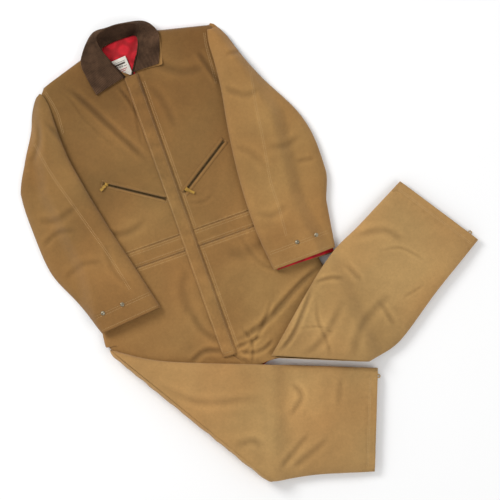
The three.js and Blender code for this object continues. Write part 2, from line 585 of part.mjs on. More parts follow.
// ---------------------------------------------------------------- collar
function addCollar() {
  for (const [name, side] of [['right', -1], ['left', 1]]) {
    const points = COLLAR_LEAF.map(([x, y]) => [side * x, y]);
    const low = TUBE + GAP;
    put(trunk, `under_collar_${name}`, prism(points, low, low + CANVAS), canvas);
    put(trunk, `collar_leaf_${name}`,
      prism(points, low + CANVAS + GAP, low + CANVAS + GAP + COLLAR_CLOTH), corduroy);
  }
  const foot = CANVAS + GAP + LINING + GAP;
  const crest = TUBE + COLLAR_RISE;
  const tent = COLLAR_TENT;
  const section = [[tent.footNear, foot], [tent.footFar, foot], [tent.slopeAt, crest - tent.slopeDown],
                   [tent.hemNear, TUBE - tent.hemLow], [tent.hemFar, TUBE - tent.hemHigh],
                   [tent.crestFar, crest], [tent.crestNear, crest]].map(([past, z]) => [NAPE_RISE + past, z]);
  const shape = new THREE.Shape(section.map(([y, z]) => new THREE.Vector2(y, z)));
  const body = new THREE.ExtrudeGeometry(shape, { depth: 2 * COLLAR_STAND_HALF, bevelEnabled: false });
  const place = new THREE.Matrix4().makeBasis(
    new THREE.Vector3(0, 1, 0), new THREE.Vector3(0, 0, 1), new THREE.Vector3(1, 0, 0));
  place.setPosition(-COLLAR_STAND_HALF, 0, 0);
  put(trunk, 'collar_back', solidOf(body.applyMatrix4(place)), corduroy);
}

addTrunk();
addCollar();
for (const name of ['right', 'left']) {
  addThigh(name);
  addSleeve(name);
  addLeg(name);
}

// the origin goes to the middle of the footprint, on the floor
suit.updateMatrixWorld(true);
const footprint = new THREE.Box3().setFromObject(suit, true);
const middle = footprint.getCenter(new THREE.Vector3());
suit.position.set(-middle.x, -middle.y, 0);
suit.updateMatrixWorld(true);

export default suit;
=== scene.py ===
"""An insulated duck-canvas work coverall laid on its back, legs folded up over the thighs.

Shapes are worked out in millimetres in three kinds of flat frame: the trunk's, each sleeve's and
each lower leg's. Every cloth piece is a grid of two parameters put into a mesh, in metres.
"""
import json
import math

import bpy
import numpy as np
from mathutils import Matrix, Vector
from mathutils.bvhtree import BVHTree


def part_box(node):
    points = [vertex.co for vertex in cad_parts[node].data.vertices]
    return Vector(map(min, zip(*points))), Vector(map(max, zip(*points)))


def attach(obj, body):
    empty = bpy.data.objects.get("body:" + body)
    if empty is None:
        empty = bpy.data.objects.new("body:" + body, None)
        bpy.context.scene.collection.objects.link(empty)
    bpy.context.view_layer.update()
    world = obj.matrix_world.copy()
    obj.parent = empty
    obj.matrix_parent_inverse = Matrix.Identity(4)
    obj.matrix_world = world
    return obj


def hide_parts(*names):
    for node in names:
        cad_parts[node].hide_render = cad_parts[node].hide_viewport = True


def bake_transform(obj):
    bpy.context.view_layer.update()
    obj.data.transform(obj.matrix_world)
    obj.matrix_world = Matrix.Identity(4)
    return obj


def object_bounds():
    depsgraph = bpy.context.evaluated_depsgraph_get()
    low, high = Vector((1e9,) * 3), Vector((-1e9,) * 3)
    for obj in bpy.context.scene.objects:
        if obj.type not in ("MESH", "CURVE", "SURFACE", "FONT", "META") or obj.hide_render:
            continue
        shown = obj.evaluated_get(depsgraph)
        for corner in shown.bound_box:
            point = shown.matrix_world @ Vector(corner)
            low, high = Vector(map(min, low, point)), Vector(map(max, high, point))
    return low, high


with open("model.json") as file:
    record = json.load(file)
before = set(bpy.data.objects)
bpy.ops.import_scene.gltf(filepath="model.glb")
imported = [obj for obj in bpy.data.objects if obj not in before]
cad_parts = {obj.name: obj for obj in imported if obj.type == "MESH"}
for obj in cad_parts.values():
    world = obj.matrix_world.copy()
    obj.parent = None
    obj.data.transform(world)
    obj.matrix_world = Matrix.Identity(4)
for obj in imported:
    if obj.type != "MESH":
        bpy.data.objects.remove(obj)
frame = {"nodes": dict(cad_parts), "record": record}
CAD_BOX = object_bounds()
JOINTS = {joint["name"]: joint for joint in frame["record"]["behaviour"]["joints"]}
SIDES = {"right": -1, "left": 1}
MM = 0.001

# ------------------------------------------------------------------ sizes, in millimetres
TUBE = 26.0            # height of one padded layer
UPPER = 26.3           # sleeves and lower legs lie on the trunk at this level
SEAM_LEVEL = 12.0      # side seams lie about half way up a layer
CLOTH = 1.3
ROUND = 30.0           # how far in from a seam the padding is still rounding over
LEG_REST = 6.5
FOLD_LEVEL = 26.15
FOLD_HALF = {"right": (265.6, 265.6), "left": (145.0, 108.0)}   # towards the fly, and away from it
FOLD_SHORT = {"right": 0.0, "left": 9.0}    # the turn starts this far from the inner end of the fold
FOLD_PROUD = {"right": 10.0, "left": 1.5}
SLEEVE_LENGTH = 630.0
LEG_LENGTH = {"right": 471.0, "left": 475.0}
POCKET_START = (27.0, -322.0)
POCKET_LENGTH = 161.0
POCKET_RISE = math.radians(33.1)
ZIP_LANE = 6.0
ZIP_TOP_GAP = 6.0
PLACKET = {"west": -22.0, "east": 14.0, "top": -14.0, "bottom": -750.0}
PLACKET_HINGE = (14.0, -380.0)
BAND = (-422.0, -465.0)


# ------------------------------------------------------------------ frames
class Flat:
    """A flat frame: out() turns local millimetres into the model's metres, into() the other way."""

    def __init__(self, origin, along):
        self.origin = np.array(origin[:2], float)
        along = np.array(along[:2], float)
        self.x = along / np.linalg.norm(along)
        self.y = np.array([-self.x[1], self.x[0]])

    def out(self, x, y, z):
        x, y, z = np.broadcast_arrays(np.asarray(x, float), np.asarray(y, float), np.asarray(z, float))
        flat = self.origin + x[..., None] * self.x + y[..., None] * self.y
        return np.concatenate([flat, z[..., None]], -1) * MM

    def into(self, x, y):
        dx, dy = np.asarray(x, float) - self.origin[0], np.asarray(y, float) - self.origin[1]
        return dx * self.x[0] + dy * self.x[1], dx * self.y[0] + dy * self.y[1]

    def flat(self, x, y):
        point = self.out(x, y, 0.0) / MM
        return point[..., 0], point[..., 1]


def axis(joint):
    """Direction of a joint's axis."""
    return np.array(JOINTS[joint]["axis"], float)


def pivot(joint):
    """A point on a joint's axis, in millimetres."""
    return np.array(JOINTS[joint]["pos_m"], float) / MM


def trunk_frame():
    """The fly runs down it: its origin lies up and across from the placket's hinge."""
    down = axis("main_zip_slide")[:2]
    across = np.array([-down[1], down[0]])
    origin = pivot("placket_open")[:2] - PLACKET_HINGE[0] * across + PLACKET_HINGE[1] * down
    return Flat(origin, across)


def sleeve_frame(name):
    """A sleeve's frame: its origin at the shoulder, its length down the y axis."""
    flat = Flat(pivot(f"sleeve_{name}_lift"), -axis(f"sleeve_{name}_lift"))
    flat.origin = flat.origin - flat.y
    return flat


TRUNK = trunk_frame()
SLEEVE = {name: sleeve_frame(name) for name in SIDES}
LEG = {name: Flat(pivot(f"leg_{name}_unfold"), -axis(f"leg_zip_{name}_slide")) for name in SIDES}


def fold_ends(name):
    """The two ends of a fold line in the trunk's frame, the one nearer the fly first."""
    middle = pivot(f"leg_{name}_unfold")[:2]
    way = axis(f"leg_{name}_unfold")[:2]
    if TRUNK.into(*(middle + way))[0] * SIDES[name] > TRUNK.into(*middle)[0] * SIDES[name]:
        way = -way
    near, far = FOLD_HALF[name]
    return [TRUNK.into(*(middle + way * near)), TRUNK.into(*(middle - way * far))]


# ------------------------------------------------------------------ curves and cloth relief
def smooth(t):
    """Eased step from 0 at t = 0 to 1 at t = 1."""
    t = np.clip(t, 0, 1)
    return t * t * (3 - 2 * t)


def crown(distance, reach):
    """Quarter-round rise from 0 at a seam to 1 at the reach from it."""
    t = np.clip(distance / reach, 0, 1)
    return np.sqrt(np.maximum(1 - (1 - t) ** 2, 0))


def bell(distance, width, power=2):
    """1 on a line, falling to nothing within about two widths of it."""
    return np.exp(-(distance / width) ** power)


def course(points, t, soft=1.0):
    """A line through points at whole values of t: straight when soft is 0, Catmull-Rom when 1."""
    points = np.array(points, float)
    ends = np.vstack([2 * points[0] - points[1], points, 2 * points[-1] - points[-2]])
    t = np.clip(np.asarray(t, float), 0, len(points) - 1)
    i = np.minimum(t.astype(int), len(points) - 2)
    f = (t - i)[..., None]
    p0, p1, p2, p3 = ends[i], ends[i + 1], ends[i + 2], ends[i + 3]
    bend = 2 * p0 - 5 * p1 + 4 * p2 - p3 + f * (3 * (p1 - p2) + p3 - p0)
    curved = p1 + 0.5 * f * (p2 - p0 + f * bend)
    return soft * curved + (1 - soft) * (p1 + f * (p2 - p1))


def waves(x, y, length, seed, lean=0.0, stretch=1.0):
    """Nine seeded sine waves of about one length; stretch above 1 draws them out along lean."""
    rng = np.random.default_rng(seed)
    along = (x * math.cos(lean) + y * math.sin(lean)) / stretch
    over = -x * math.sin(lean) + y * math.cos(lean)
    total = 0.0
    for _ in range(9):
        angle = rng.uniform(0, math.pi)
        k = 2 * math.pi / length * rng.uniform(0.7, 1.4)
        phase = rng.uniform(0, 2 * math.pi)
        total = total + np.sin(k * (along * math.cos(angle) + over * math.sin(angle)) + phase)
    return total / 3.0


def distance_to(x, y, points):
    """Distance to a polyline, signed by the side of it, and the share of its length reached."""
    points = np.array(points, float)
    best = np.full(np.shape(x), 1e9)
    signed = np.zeros(np.shape(x))
    share = np.zeros(np.shape(x))
    lengths = np.linalg.norm(np.diff(points, axis=0), axis=1)
    starts = np.concatenate([[0], np.cumsum(lengths)])
    for i, (a, b) in enumerate(zip(points[:-1], points[1:])):
        along = (b - a) / lengths[i]
        reach = np.clip((x - a[0]) * along[0] + (y - a[1]) * along[1], 0, lengths[i])
        dx, dy = x - a[0] - reach * along[0], y - a[1] - reach * along[1]
        distance = np.hypot(dx, dy)
        nearer = distance < best
        best = np.where(nearer, distance, best)
        signed = np.where(nearer, np.sign(along[0] * dy - along[1] * dx) * distance, signed)
        share = np.where(nearer, (starts[i] + reach) / starts[-1], share)
    return signed, share


def crease(x, y, points, width, depth, puff=0.55):
    """A valley along a line, with a soft swell on each side, fading at both ends."""
    signed, share = distance_to(x, y, course(points, np.linspace(0, len(points) - 1, 4 * len(points))))
    ends = smooth(share / 0.22) * smooth((1 - share) / 0.22)
    valley = -np.exp(-(signed / width) ** 2)
    swell = puff * np.exp(-((np.abs(signed) - 2.1 * width) / (1.2 * width)) ** 2)
    return depth * ends * (valley + swell)


def rumple(x, y, seed, height, lean=0.0, stretch=1.6):
    """Lazy swells, sharper folds where a wave crosses zero, and small dents."""
    swell = waves(x, y, 230, seed, lean, stretch)
    fold = waves(x, y, 150, seed + 1, lean, stretch * 1.4) + 0.3 * waves(x, y, 60, seed + 3, lean, stretch)
    patch = smooth(0.5 + 0.9 * waves(x, y, 210, seed + 4))
    dent = waves(x, y, 42, seed + 2, lean, stretch * 1.5)
    sharp = np.exp(-np.abs(fold) / 0.10) - 0.35 * bell(fold, 0.45)
    return height * (0.34 * swell - 0.42 * patch * sharp + 0.07 * dent)


# ------------------------------------------------------------------ meshes
def mesh_object(name, vertices, faces, material, smooth_faces=True):
    """A new object in the scene from vertices in metres and quads."""
    mesh = bpy.data.meshes.new(name)
    mesh.from_pydata(np.asarray(vertices, float).reshape(-1, 3).tolist(), [], np.asarray(faces).tolist())
    mesh.polygons.foreach_set("use_smooth", [smooth_faces] * len(mesh.polygons))
    mesh.materials.append(material)
    mesh.update()
    piece = bpy.data.objects.new(name, mesh)
    bpy.context.scene.collection.objects.link(piece)
    return piece


def grid_faces(rows, columns, ring=False, flip=False):
    """Quads between neighbouring rows and columns of a grid; a ring also joins its last column."""
    i = np.arange(rows - 1)[:, None]
    j = np.arange(columns if ring else columns - 1)[None, :]
    k = (j + 1) % columns
    low, high = i * columns, (i + 1) * columns
    quads = np.stack([low + j, low + k, high + k, high + j], -1).reshape(-1, 4)
    return quads[:, ::-1] if flip else quads


def set_attributes(piece, flat, tone, relief):
    """UV in metres along the cloth, and the tone and relief values that its material reads; the relief paints
    shade into creases and highlight onto ridges.
    """
    mesh = piece.data
    layer = mesh.uv_layers.new(name="cloth")
    corners = np.zeros(len(mesh.loops), dtype=np.int32)
    mesh.loops.foreach_get("vertex_index", corners)
    flat = np.asarray(flat, float).reshape(-1, 2)
    layer.data.foreach_set("uv", (flat[corners] * MM).ravel())
    for key, values in (("tone", tone), ("relief", relief)):
        if np.ndim(values) == 0:
            values = np.full(len(flat), float(values))
        attribute = mesh.attributes.new(key, "FLOAT", "POINT")
        attribute.data.foreach_set("value", np.asarray(values, dtype=np.float32).ravel())


def cloth_piece(name, points, flat, material, tone=0.5, relief=0.0, ring=False, flip=False, thick=CLOTH):
    """A grid of points (rows, columns, 3) in metres as one cloth piece with a turned thickness."""
    rows, columns = points.shape[:2]
    piece = mesh_object(name, points, grid_faces(rows, columns, ring, flip), material)
    set_attributes(piece, flat, tone, relief)
    if thick:
        shell = piece.modifiers.new("thickness", "SOLIDIFY")
        shell.thickness = thick * MM
        shell.offset = -1
        shell.use_even_offset = False
    return piece


def trunk_cloth(name, x, y, z, material, tone=0.5, relief=0.0, **more):
    """Cloth given in the trunk's frame, woven along its x and y."""
    return cloth_piece(name, TRUNK.out(x, y, z), np.stack([x, y], -1), material, tone, relief, **more)


def settle(piece, body, node=None):
    """Fix a piece to a body, as the shape of one or more nodes."""
    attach(piece, body)
    if node:
        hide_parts(*([node] if isinstance(node, str) else node))
    return piece


# ------------------------------------------------------------------ materials
class Shader:
    """A small builder of node materials."""

    def __init__(self, name, roughness, metallic=0.0, sheen=0.0, specular=0.5):
        self.material = bpy.data.materials.new(name)
        self.material.use_nodes = True
        self.tree = self.material.node_tree
        self.surface = self.tree.nodes["Principled BSDF"]
        for key, value in (("Roughness", roughness), ("Metallic", metallic), ("Sheen Weight", sheen),
                           ("Sheen Roughness", 0.5), ("Specular IOR Level", specular)):
            self.surface.inputs[key].default_value = value

    def add(self, kind, inputs=(), **settings):
        node = self.tree.nodes.new(kind)
        for key, value in settings.items():
            setattr(node, key, value)
        for key, value in dict(inputs).items():
            if isinstance(value, bpy.types.NodeSocket):
                self.tree.links.new(value, node.inputs[key])
            else:
                node.inputs[key].default_value = value
        return node

    def value(self, name):
        return self.add("ShaderNodeAttribute", attribute_name=name).outputs["Fac"]

    def coordinates(self, kind="Object"):
        return self.add("ShaderNodeTexCoord").outputs[kind]

    def noise(self, where, scale, detail=3.0, rough=0.55):
        inputs = {"Vector": where, "Scale": scale, "Detail": detail, "Roughness": rough}
        return self.add("ShaderNodeTexNoise", inputs).outputs["Fac"]

    def bands(self, where, scale, direction):
        inputs = {"Vector": where, "Scale": scale, "Distortion": 0.6, "Detail": 1.0, "Detail Scale": 1.5}
        node = self.add("ShaderNodeTexWave", inputs, wave_type="BANDS", bands_direction=direction)
        return node.outputs["Fac"]

    def math(self, operation, a, b=0.0):
        return self.add("ShaderNodeMath", {0: a, 1: b}, operation=operation).outputs[0]

    def times(self, a, b):
        return self.math("MULTIPLY", a, b)

    def ramp(self, value, low, high, to_low, to_high):
        node = self.add("ShaderNodeMapRange", {"Value": value, "From Min": low, "From Max": high,
                                               "To Min": to_low, "To Max": to_high})
        return node.outputs["Result"]

    def mix(self, factor, a, b, blend="MIX"):
        node = self.add("ShaderNodeMix", data_type="RGBA", blend_type=blend)
        for socket, value in ((0, factor), (6, a), (7, b)):
            if isinstance(value, bpy.types.NodeSocket):
                self.tree.links.new(value, node.inputs[socket])
            else:
                node.inputs[socket].default_value = value
        return node.outputs[2]

    def grey(self, value):
        return self.add("ShaderNodeCombineColor", {0: value, 1: value, 2: value}).outputs[0]

    def shaded(self, colour, value):
        """The colour times a grey value."""
        return self.mix(1.0, colour, self.grey(value), "MULTIPLY")

    def bump(self, height, strength, distance, under=None):
        inputs = {"Height": height, "Strength": strength, "Distance": distance}
        if under is not None:
            inputs["Normal"] = under
        return self.add("ShaderNodeBump", inputs).outputs["Normal"]

    def finish(self, colour=None, normal=None, roughness=None):
        for key, socket in (("Base Color", colour), ("Normal", normal), ("Roughness", roughness)):
            if socket is not None:
                self.tree.links.new(socket, self.surface.inputs[key])
        return self.material


def linear(red, green, blue):
    """A display colour given from 0 to 255 as the linear colour a shader takes."""
    values = [channel / 255 for channel in (red, green, blue)]
    return tuple(v / 12.92 if v < 0.04045 else ((v + 0.055) / 1.055) ** 2.4 for v in values) + (1.0,)


def duck_canvas(name, dark, light):
    """Plain-weave cotton duck: painted shade in the creases and painted highlight on the ridges, a slub grain
    and a weave.
    """
    s = Shader(name, roughness=0.9, sheen=0.12, specular=0.22)
    where, cloth = s.coordinates("Object"), s.coordinates("UV")
    colour = s.mix(s.value("tone"), linear(*dark), linear(*light))
    mottle = s.ramp(s.noise(where, 7.0, 4.0), 0.3, 0.7, 0.91, 1.08)
    stain = s.ramp(s.noise(where, 26.0, 5.0, 0.7), 0.3, 0.7, 0.93, 1.06)
    fleck = s.ramp(s.noise(where, 150.0, 4.0, 0.75), 0.3, 0.7, 0.93, 1.07)
    shade = s.times(s.times(mottle, stain), fleck)
    relief = s.value("relief")
    # painted shade: the relief darkens creases, seams and recesses and lightens ridges (painted highlight),
    # times the random mottle, stains and flecks
    painted_shade_and_mottle = s.times(s.ramp(relief, -1.3, 1.1, 0.66, 1.14), shade)
    warp = s.bands(cloth, 420.0, "X")
    weft = s.bands(cloth, 380.0, "Y")
    weave = s.math("ADD", warp, weft)
    grain = s.noise(cloth, 900.0, 2.0, 0.7)
    thread = s.ramp(s.math("ADD", weave, grain), 0.6, 2.2, 0.93, 1.05)
    colour = s.shaded(colour, s.times(painted_shade_and_mottle, thread))
    drift = s.ramp(s.noise(where, 4.0, 2.0), 0.35, 0.65, 0.0, 1.0)
    warmth = s.mix(drift, (1.03, 0.97, 0.93, 1.0), (0.97, 1.01, 1.03, 1.0))
    colour = s.mix(1.0, colour, warmth, "MULTIPLY")
    pucker = s.bump(s.noise(where, 70.0, 4.0, 0.6), 0.35, 0.0022)
    normal = s.bump(s.math("ADD", weave, grain), 0.5, 0.00025, pucker)
    return s.finish(colour, normal, s.ramp(grain, 0.3, 0.7, 0.84, 0.96))


def ribbed_corduroy():
    """Fine-wale corduroy: rounded cords along the collar, paler on their tops and darker between them."""
    s = Shader("corduroy", roughness=0.95, sheen=0.05, specular=0.15)
    s.surface.inputs["Sheen Tint"].default_value = linear(150, 120, 90)
    where, cloth = s.coordinates("Object"), s.coordinates("UV")
    cords = s.bands(cloth, 100.0, "Y")
    colour = s.mix(s.ramp(cords, 0.1, 0.9, 0.0, 1.0), linear(48, 33, 22), linear(88, 65, 48))
    worn = s.ramp(s.noise(where, 30.0, 5.0, 0.7), 0.35, 0.7, 0.68, 1.5)
    # the relief ramp paints shade into buckle hollows and highlight onto buckle crests, and lightens real
    # worn edges; worn is patchy real wear
    shade = s.times(worn, s.ramp(s.value("relief"), -1.0, 1.0, 0.6, 1.3))
    colour = s.shaded(colour, shade)
    pile = s.bump(s.noise(where, 1400.0, 2.0), 0.4, 0.0004)
    return s.finish(colour, s.bump(cords, 0.8, 0.0009, pile))


def quilted_satin():
    """Red satin lining sewn to batting in diamonds."""
    s = Shader("quilted_lining", roughness=0.6, sheen=0.03, specular=0.25)
    where, cloth = s.coordinates("Object"), s.coordinates("UV")
    diagonal = (0.0, 0.0, math.radians(45))
    turned = s.add("ShaderNodeMapping", {"Vector": cloth, "Rotation": diagonal}).outputs[0]
    puffs = s.times(s.bands(turned, 9.0, "X"), s.bands(turned, 9.0, "Y"))
    # painted shade along the sunk quilting lines, painted highlight on the puffs between them
    colour = s.mix(s.ramp(puffs, 0.0, 0.35, 0.0, 1.0), linear(168, 14, 26), linear(205, 22, 38))
    colour = s.shaded(colour, s.ramp(s.noise(where, 40.0, 4.0), 0.3, 0.7, 0.85, 1.15))
    normal = s.bump(s.noise(where, 120.0, 5.0, 0.6), 0.6, 0.002, s.bump(puffs, 0.5, 0.002))
    return s.finish(colour, normal)


def plain_cloth(name, colour, scale=600.0, spread=0.15):
    """A close plain weave in one dye, with faded patches."""
    s = Shader(name, roughness=0.85)
    where = s.coordinates("Object")
    weave = s.math("ADD", s.bands(where, scale, "X"), s.bands(where, scale, "Y"))
    patch = s.ramp(s.noise(where, 60.0, 4.0), 0.3, 0.7, 1 - spread, 1 + spread)
    base = s.shaded(linear(*colour), patch)
    return s.finish(base, s.bump(weave, 0.4, 0.0003))


def aged_metal(name, colour, dull):
    """Plated metal, dulled in cloudy patches and scuffed in fine lines."""
    s = Shader(name, roughness=0.35, metallic=1.0)
    where = s.coordinates("Object")
    cloud = s.noise(where, 260.0, 4.0, 0.6)
    drawn = s.add("ShaderNodeMapping", {"Vector": where, "Scale": (1.0, 9.0, 1.0)}).outputs[0]
    scuff = s.noise(drawn, 700.0, 3.0)
    base = s.mix(s.ramp(cloud, 0.4, 0.65, 0.0, 1.0), linear(*colour), linear(*dull))
    return s.finish(base, s.bump(scuff, 0.25, 0.0001), s.ramp(cloud, 0.3, 0.7, 0.25, 0.55))


def sewing_thread(name, colour):
    """Twisted cotton thread."""
    s = Shader(name, roughness=0.75, sheen=0.2)
    where = s.coordinates("Object")
    twist = s.noise(where, 1800.0, 2.0)
    base = s.mix(s.ramp(twist, 0.3, 0.7, 0.0, 1.0), linear(*colour), linear(*[0.72 * c for c in colour]))
    return s.finish(base, s.bump(twist, 0.3, 0.0002))


CANVAS = duck_canvas("canvas", (103, 71, 32), (183, 140, 83))
LEG_CANVAS = duck_canvas("canvas_legs", (140, 103, 56), (194, 154, 98))
CORDUROY = ribbed_corduroy()
SATIN = quilted_satin()
POCKETING = plain_cloth("pocketing", (58, 52, 46))
TAPE = plain_cloth("zip_tape", (122, 90, 50), 900.0)
LABEL_CLOTH = plain_cloth("label_cloth", (226, 220, 208), 900.0, 0.05)
LABEL_INK = plain_cloth("label_ink", (74, 66, 60), 900.0, 0.1)
LABEL_RULE = plain_cloth("label_rule", (172, 60, 66), 900.0, 0.1)
METAL = aged_metal("zip_metal", (170, 160, 138), (104, 92, 70))
BRASS = aged_metal("zip_brass", (214, 170, 84), (120, 92, 52))
# dark chain colours: dull metal, and also painted shade standing in for the dark slit of the zip
CHAIN_METAL_AND_SLIT_SHADE = aged_metal("zip_chain", (96, 78, 50), (58, 46, 30))
THREAD = sewing_thread("thread", (208, 172, 118))

# ------------------------------------------------------------------ trunk
INNER_FRONT = [(58, 101), (47, 62), (32, 28), (7, 7), (8, -210), (8, -422), (8, -465), (8, -618), (8, -738),
               (0.4, -751)]
OUTER = [(240, 30), (246, -2), (258, -50), (300, -210), (272, -422), (275, -465), (297, -618)]
SHOULDER_TIP = {"right": (226, 48), "left": (228, 60)}
OUTER_LOW = {"right": [(291, -628), (290, -631), (289, -634)], "left": [(305, -650), (309, -668),
                       (320, -712)]}
NECK_ROWS = 3          # stations of the neckline before the fly begins
CHEST, WAIST, BAND_END, CROTCH, FOLD = 4, 5, 6, 10, 11
FRONT_CREASES = [
    ([(-183, 33), (-153, 4), (-93, -110), (-29, -233)], 8, 4.6),
    ([(-46, -10), (-28, -62), (-24, -105)], 5, 4.5),
    ([(176, 9), (199, -72), (207, -102)], 8, 4.0),
    ([(30, -30), (52, -90), (60, -170)], 10, 2.2),
    ([(60, 20), (120, -30), (185, -40)], 12, 2.6),
    ([(26, -352), (62, -362), (95, -352)], 5, 2.0),
    ([(-30, -505), (-62, -560), (-66, -640)], 14, 2.4),
    ([(-240, -330), (-160, -372), (-80, -356)], 10, 2.6),
    ([(11, -731), (110, -704), (230, -640), (304, -615)], 9, 5.0),
    ([(10, -742), (94, -735)], 6, 4.4),
    ([(14, -752), (70, -770), (120, -752)], 6, 4.4),
    ([(10, -760), (38, -792)], 6, 4.0),
    ([(-12, -742), (-60, -724), (-110, -742)], 8, 4.0),
    ([(-12, -720), (-50, -668), (-60, -610)], 10, 3.0),
    ([(60, -500), (120, -520), (200, -505)], 16, 2.0),
    ([(-205, 30), (-176, 8), (-150, -70), (-96, -170)], 4, 1.6),
    ([(-12, -40), (-30, -120), (-38, -180)], 4, 2.2),
    ([(120, -470), (150, -560), (220, -610)], 6, 1.8),
    ([(40, -800), (60, -740), (44, -690)], 5, 3.2),
    ([(24, -770), (90, -720), (150, -650)], 6, 3.0),
    ([(-30, -780), (-90, -760), (-150, -775)], 6, 2.4),
]
TONE_LINE = (-700.0, 120.0)   # the trunk is palest low down and browner at the neck


def tone_by_place(x, y):
    """Tone of the canvas by place on the trunk: browner at the head, yellower at the seat."""
    share = (y - TONE_LINE[0]) / (TONE_LINE[1] - TONE_LINE[0])
    return 0.62 - 0.50 * np.clip(share, 0, 1.2) + 0.05 * waves(x, y, 260, 90)


def half_stations(name, centre):
    """Inner and outer edge points of one half of the trunk, from the shoulder to the fold line."""
    side = SIDES[name]
    near, far = fold_ends(name)
    inner = [(side * max(x, 0), y) for x, y in INNER_FRONT]
    if centre:
        inner = inner[:NECK_ROWS] + [(0, y) for _, y in inner[NECK_ROWS:]]
    outer = [(side * x, y) for x, y in [SHOULDER_TIP[name]] + OUTER + OUTER_LOW[name]]
    inner += [(40, -810), near]
    outer += [far]
    return np.array(inner), np.array(outer)


def station_rows(first, last, name, spacing):
    """Row parameters between two stations, closer where the cloth is longer."""
    inner, outer = half_stations(name, False)
    rows = [np.array([float(first)])]
    for k in range(first, last):
        longest = max(np.linalg.norm(inner[k + 1] - inner[k]), np.linalg.norm(outer[k + 1] - outer[k]))
        count = max(2, int(round(longest / spacing)))
        rows.append(k + np.arange(1, count + 1) / count)
    return np.concatenate(rows)


def trunk_plan(name, rows, columns, centre=False):
    """Plan of one half: straight lines from the inner edge (u=0) to the side seam (u=1)."""
    inner, outer = half_stations(name, centre)
    low, high = course(inner, rows, 0.0), course(outer, rows, 0.85)
    u = 1 - (1 - np.linspace(0, 1, columns)) ** 1.25
    plan = low[:, None, :] + u[None, :, None] * (high - low)[:, None, :]
    width = np.linalg.norm(high - low, axis=1)[:, None]
    to_inner = u[None, :] * width + 600 * np.clip(CROTCH - rows, 0, 1)[:, None]
    return plan[..., 0], plan[..., 1], np.minimum((1 - u)[None, :] * width, to_inner)


def edge_rise(name, x, y, to_side):
    """How far a layer has rounded up from its side seam and its shoulder seam, 0 to 1."""
    shoulder, _ = distance_to(x, y, [(SIDES[name] * 300, 43), (SIDES[name] * 58, 101), (0, 112)])
    return crown(to_side, ROUND) * crown(np.abs(shoulder), ROUND * 0.8)


def pocket_place(name):
    """Start of a pocket zip and the way it runs, in the trunk's frame."""
    side = SIDES[name]
    way = np.array([side * math.cos(POCKET_RISE), math.sin(POCKET_RISE)])
    return np.array([side * POCKET_START[0], POCKET_START[1]]), way


def zip_lane(name, x, y):
    """Distance from the line of a pocket zip, in millimetres."""
    start, way = pocket_place(name)
    signed, _ = distance_to(x, y, [start - 2 * way, start + (POCKET_LENGTH + 2) * way])
    return np.abs(signed)


def add_creases(relief, x, y, creases, narrow, shallow):
    """A relief with creases added, their widths and depths scaled."""
    for points, width, depth in creases:
        relief = relief + crease(x, y, points, narrow * width, shallow * depth)
    return relief


def front_relief(x, y):
    """Creases and rumples of the whole front, in millimetres."""
    relief = rumple(x, y, 11, 1.8, math.radians(100), 2.0)
    relief = add_creases(relief, x, y, FRONT_CREASES, 0.75, 1.0)
    for level in BAND:
        row = np.abs(y - level)
        pucker = waves(x, y, 16, 31, math.pi / 2, 2.2) * bell(row, 12)
        relief = relief + 0.8 * pucker - (0.3 if level > -440 else 0.8) * bell(row, 2.0)
    relief = relief + 0.5 * waves(x, y, 26, 37, 0.0, 2.5) * bell(np.abs(x - STITCH_LANES[0]), 10)
    return relief


CEILING = 30.5         # no fold of the front rises above this
COVERED_DROP = 4.6     # lower by this much where a sleeve or leg lies on it
CEILING_SOFT = 1.2     # how sharply folds flatten under the ceiling


def front_height(name, x, y, to_side):
    """Height of the front cloth and its relief, flattened softly under the ceiling."""
    rise = edge_rise(name, x, y, to_side)
    relief = front_relief(x, y)
    lane = zip_lane(name, x, y)
    relief = relief * smooth((lane - 8) / 22) * smooth((np.abs(x) - 10) / 16)
    covered = smooth((np.abs(x) - 150) / 60) * smooth((y + 800) / 60)
    top = TUBE - 0.6
    level = SEAM_LEVEL + (top - SEAM_LEVEL) * rise + relief * rise
    ceiling = CEILING - COVERED_DROP * covered
    level = ceiling - np.logaddexp(0, (ceiling - level) * CEILING_SOFT) / CEILING_SOFT
    return level, relief


STITCH_LEVELS = (-418.5, -425, -431, -456, -462, -468, -474)
STITCH_LANES = (19, 24)


def stitch_wear(name, x, y):
    """How much paler the cloth is along its rows of stitches."""
    painted_shade_and_mottle = sum(bell(y - level, 1.5) for level in STITCH_LEVELS)
    if name == "left":
        painted_shade_and_mottle = painted_shade_and_mottle + sum(bell(x - lane, 1.5) for lane in STITCH_LANES)
    return painted_shade_and_mottle * (0.6 + 0.4 * waves(x, y, 8, 41))


ZIP_SINK = 3.2         # how far the front dips along a pocket zip


def front_piece(label, name, first, last, node):
    """A panel of the front between two stations."""
    rows = station_rows(first, last, name, 5.0)
    x, y, to_side = trunk_plan(name, rows, 72)
    z, relief = front_height(name, x, y, to_side)
    lane = zip_lane(name, x, y)
    z = z - ZIP_SINK * bell(lane, ZIP_LANE, 4)
    tone = tone_by_place(x, y) + 0.10 * bell(to_side, 5) + 0.22 * stitch_wear(name, x, y)
    # the relief is lowered along the pocket zip's sunk lane: painted shade in that recess
    piece = trunk_cloth(label, x, y, z, CANVAS, tone, relief / 3.2 - 0.5 * bell(lane, 5), flip=name == "left")
    return settle(piece, "torso", node)


def back_height(rise, x, y, lift=0.0):
    """Height of the under side: on the floor in the middle, half way up at the seams."""
    swell = np.maximum(0.5 + 0.5 * waves(x, y, 150, 53), 0.05)
    return lift + 0.6 + (SEAM_LEVEL - 0.35 - CLOTH) * (1 - rise) + 1.1 * swell * rise


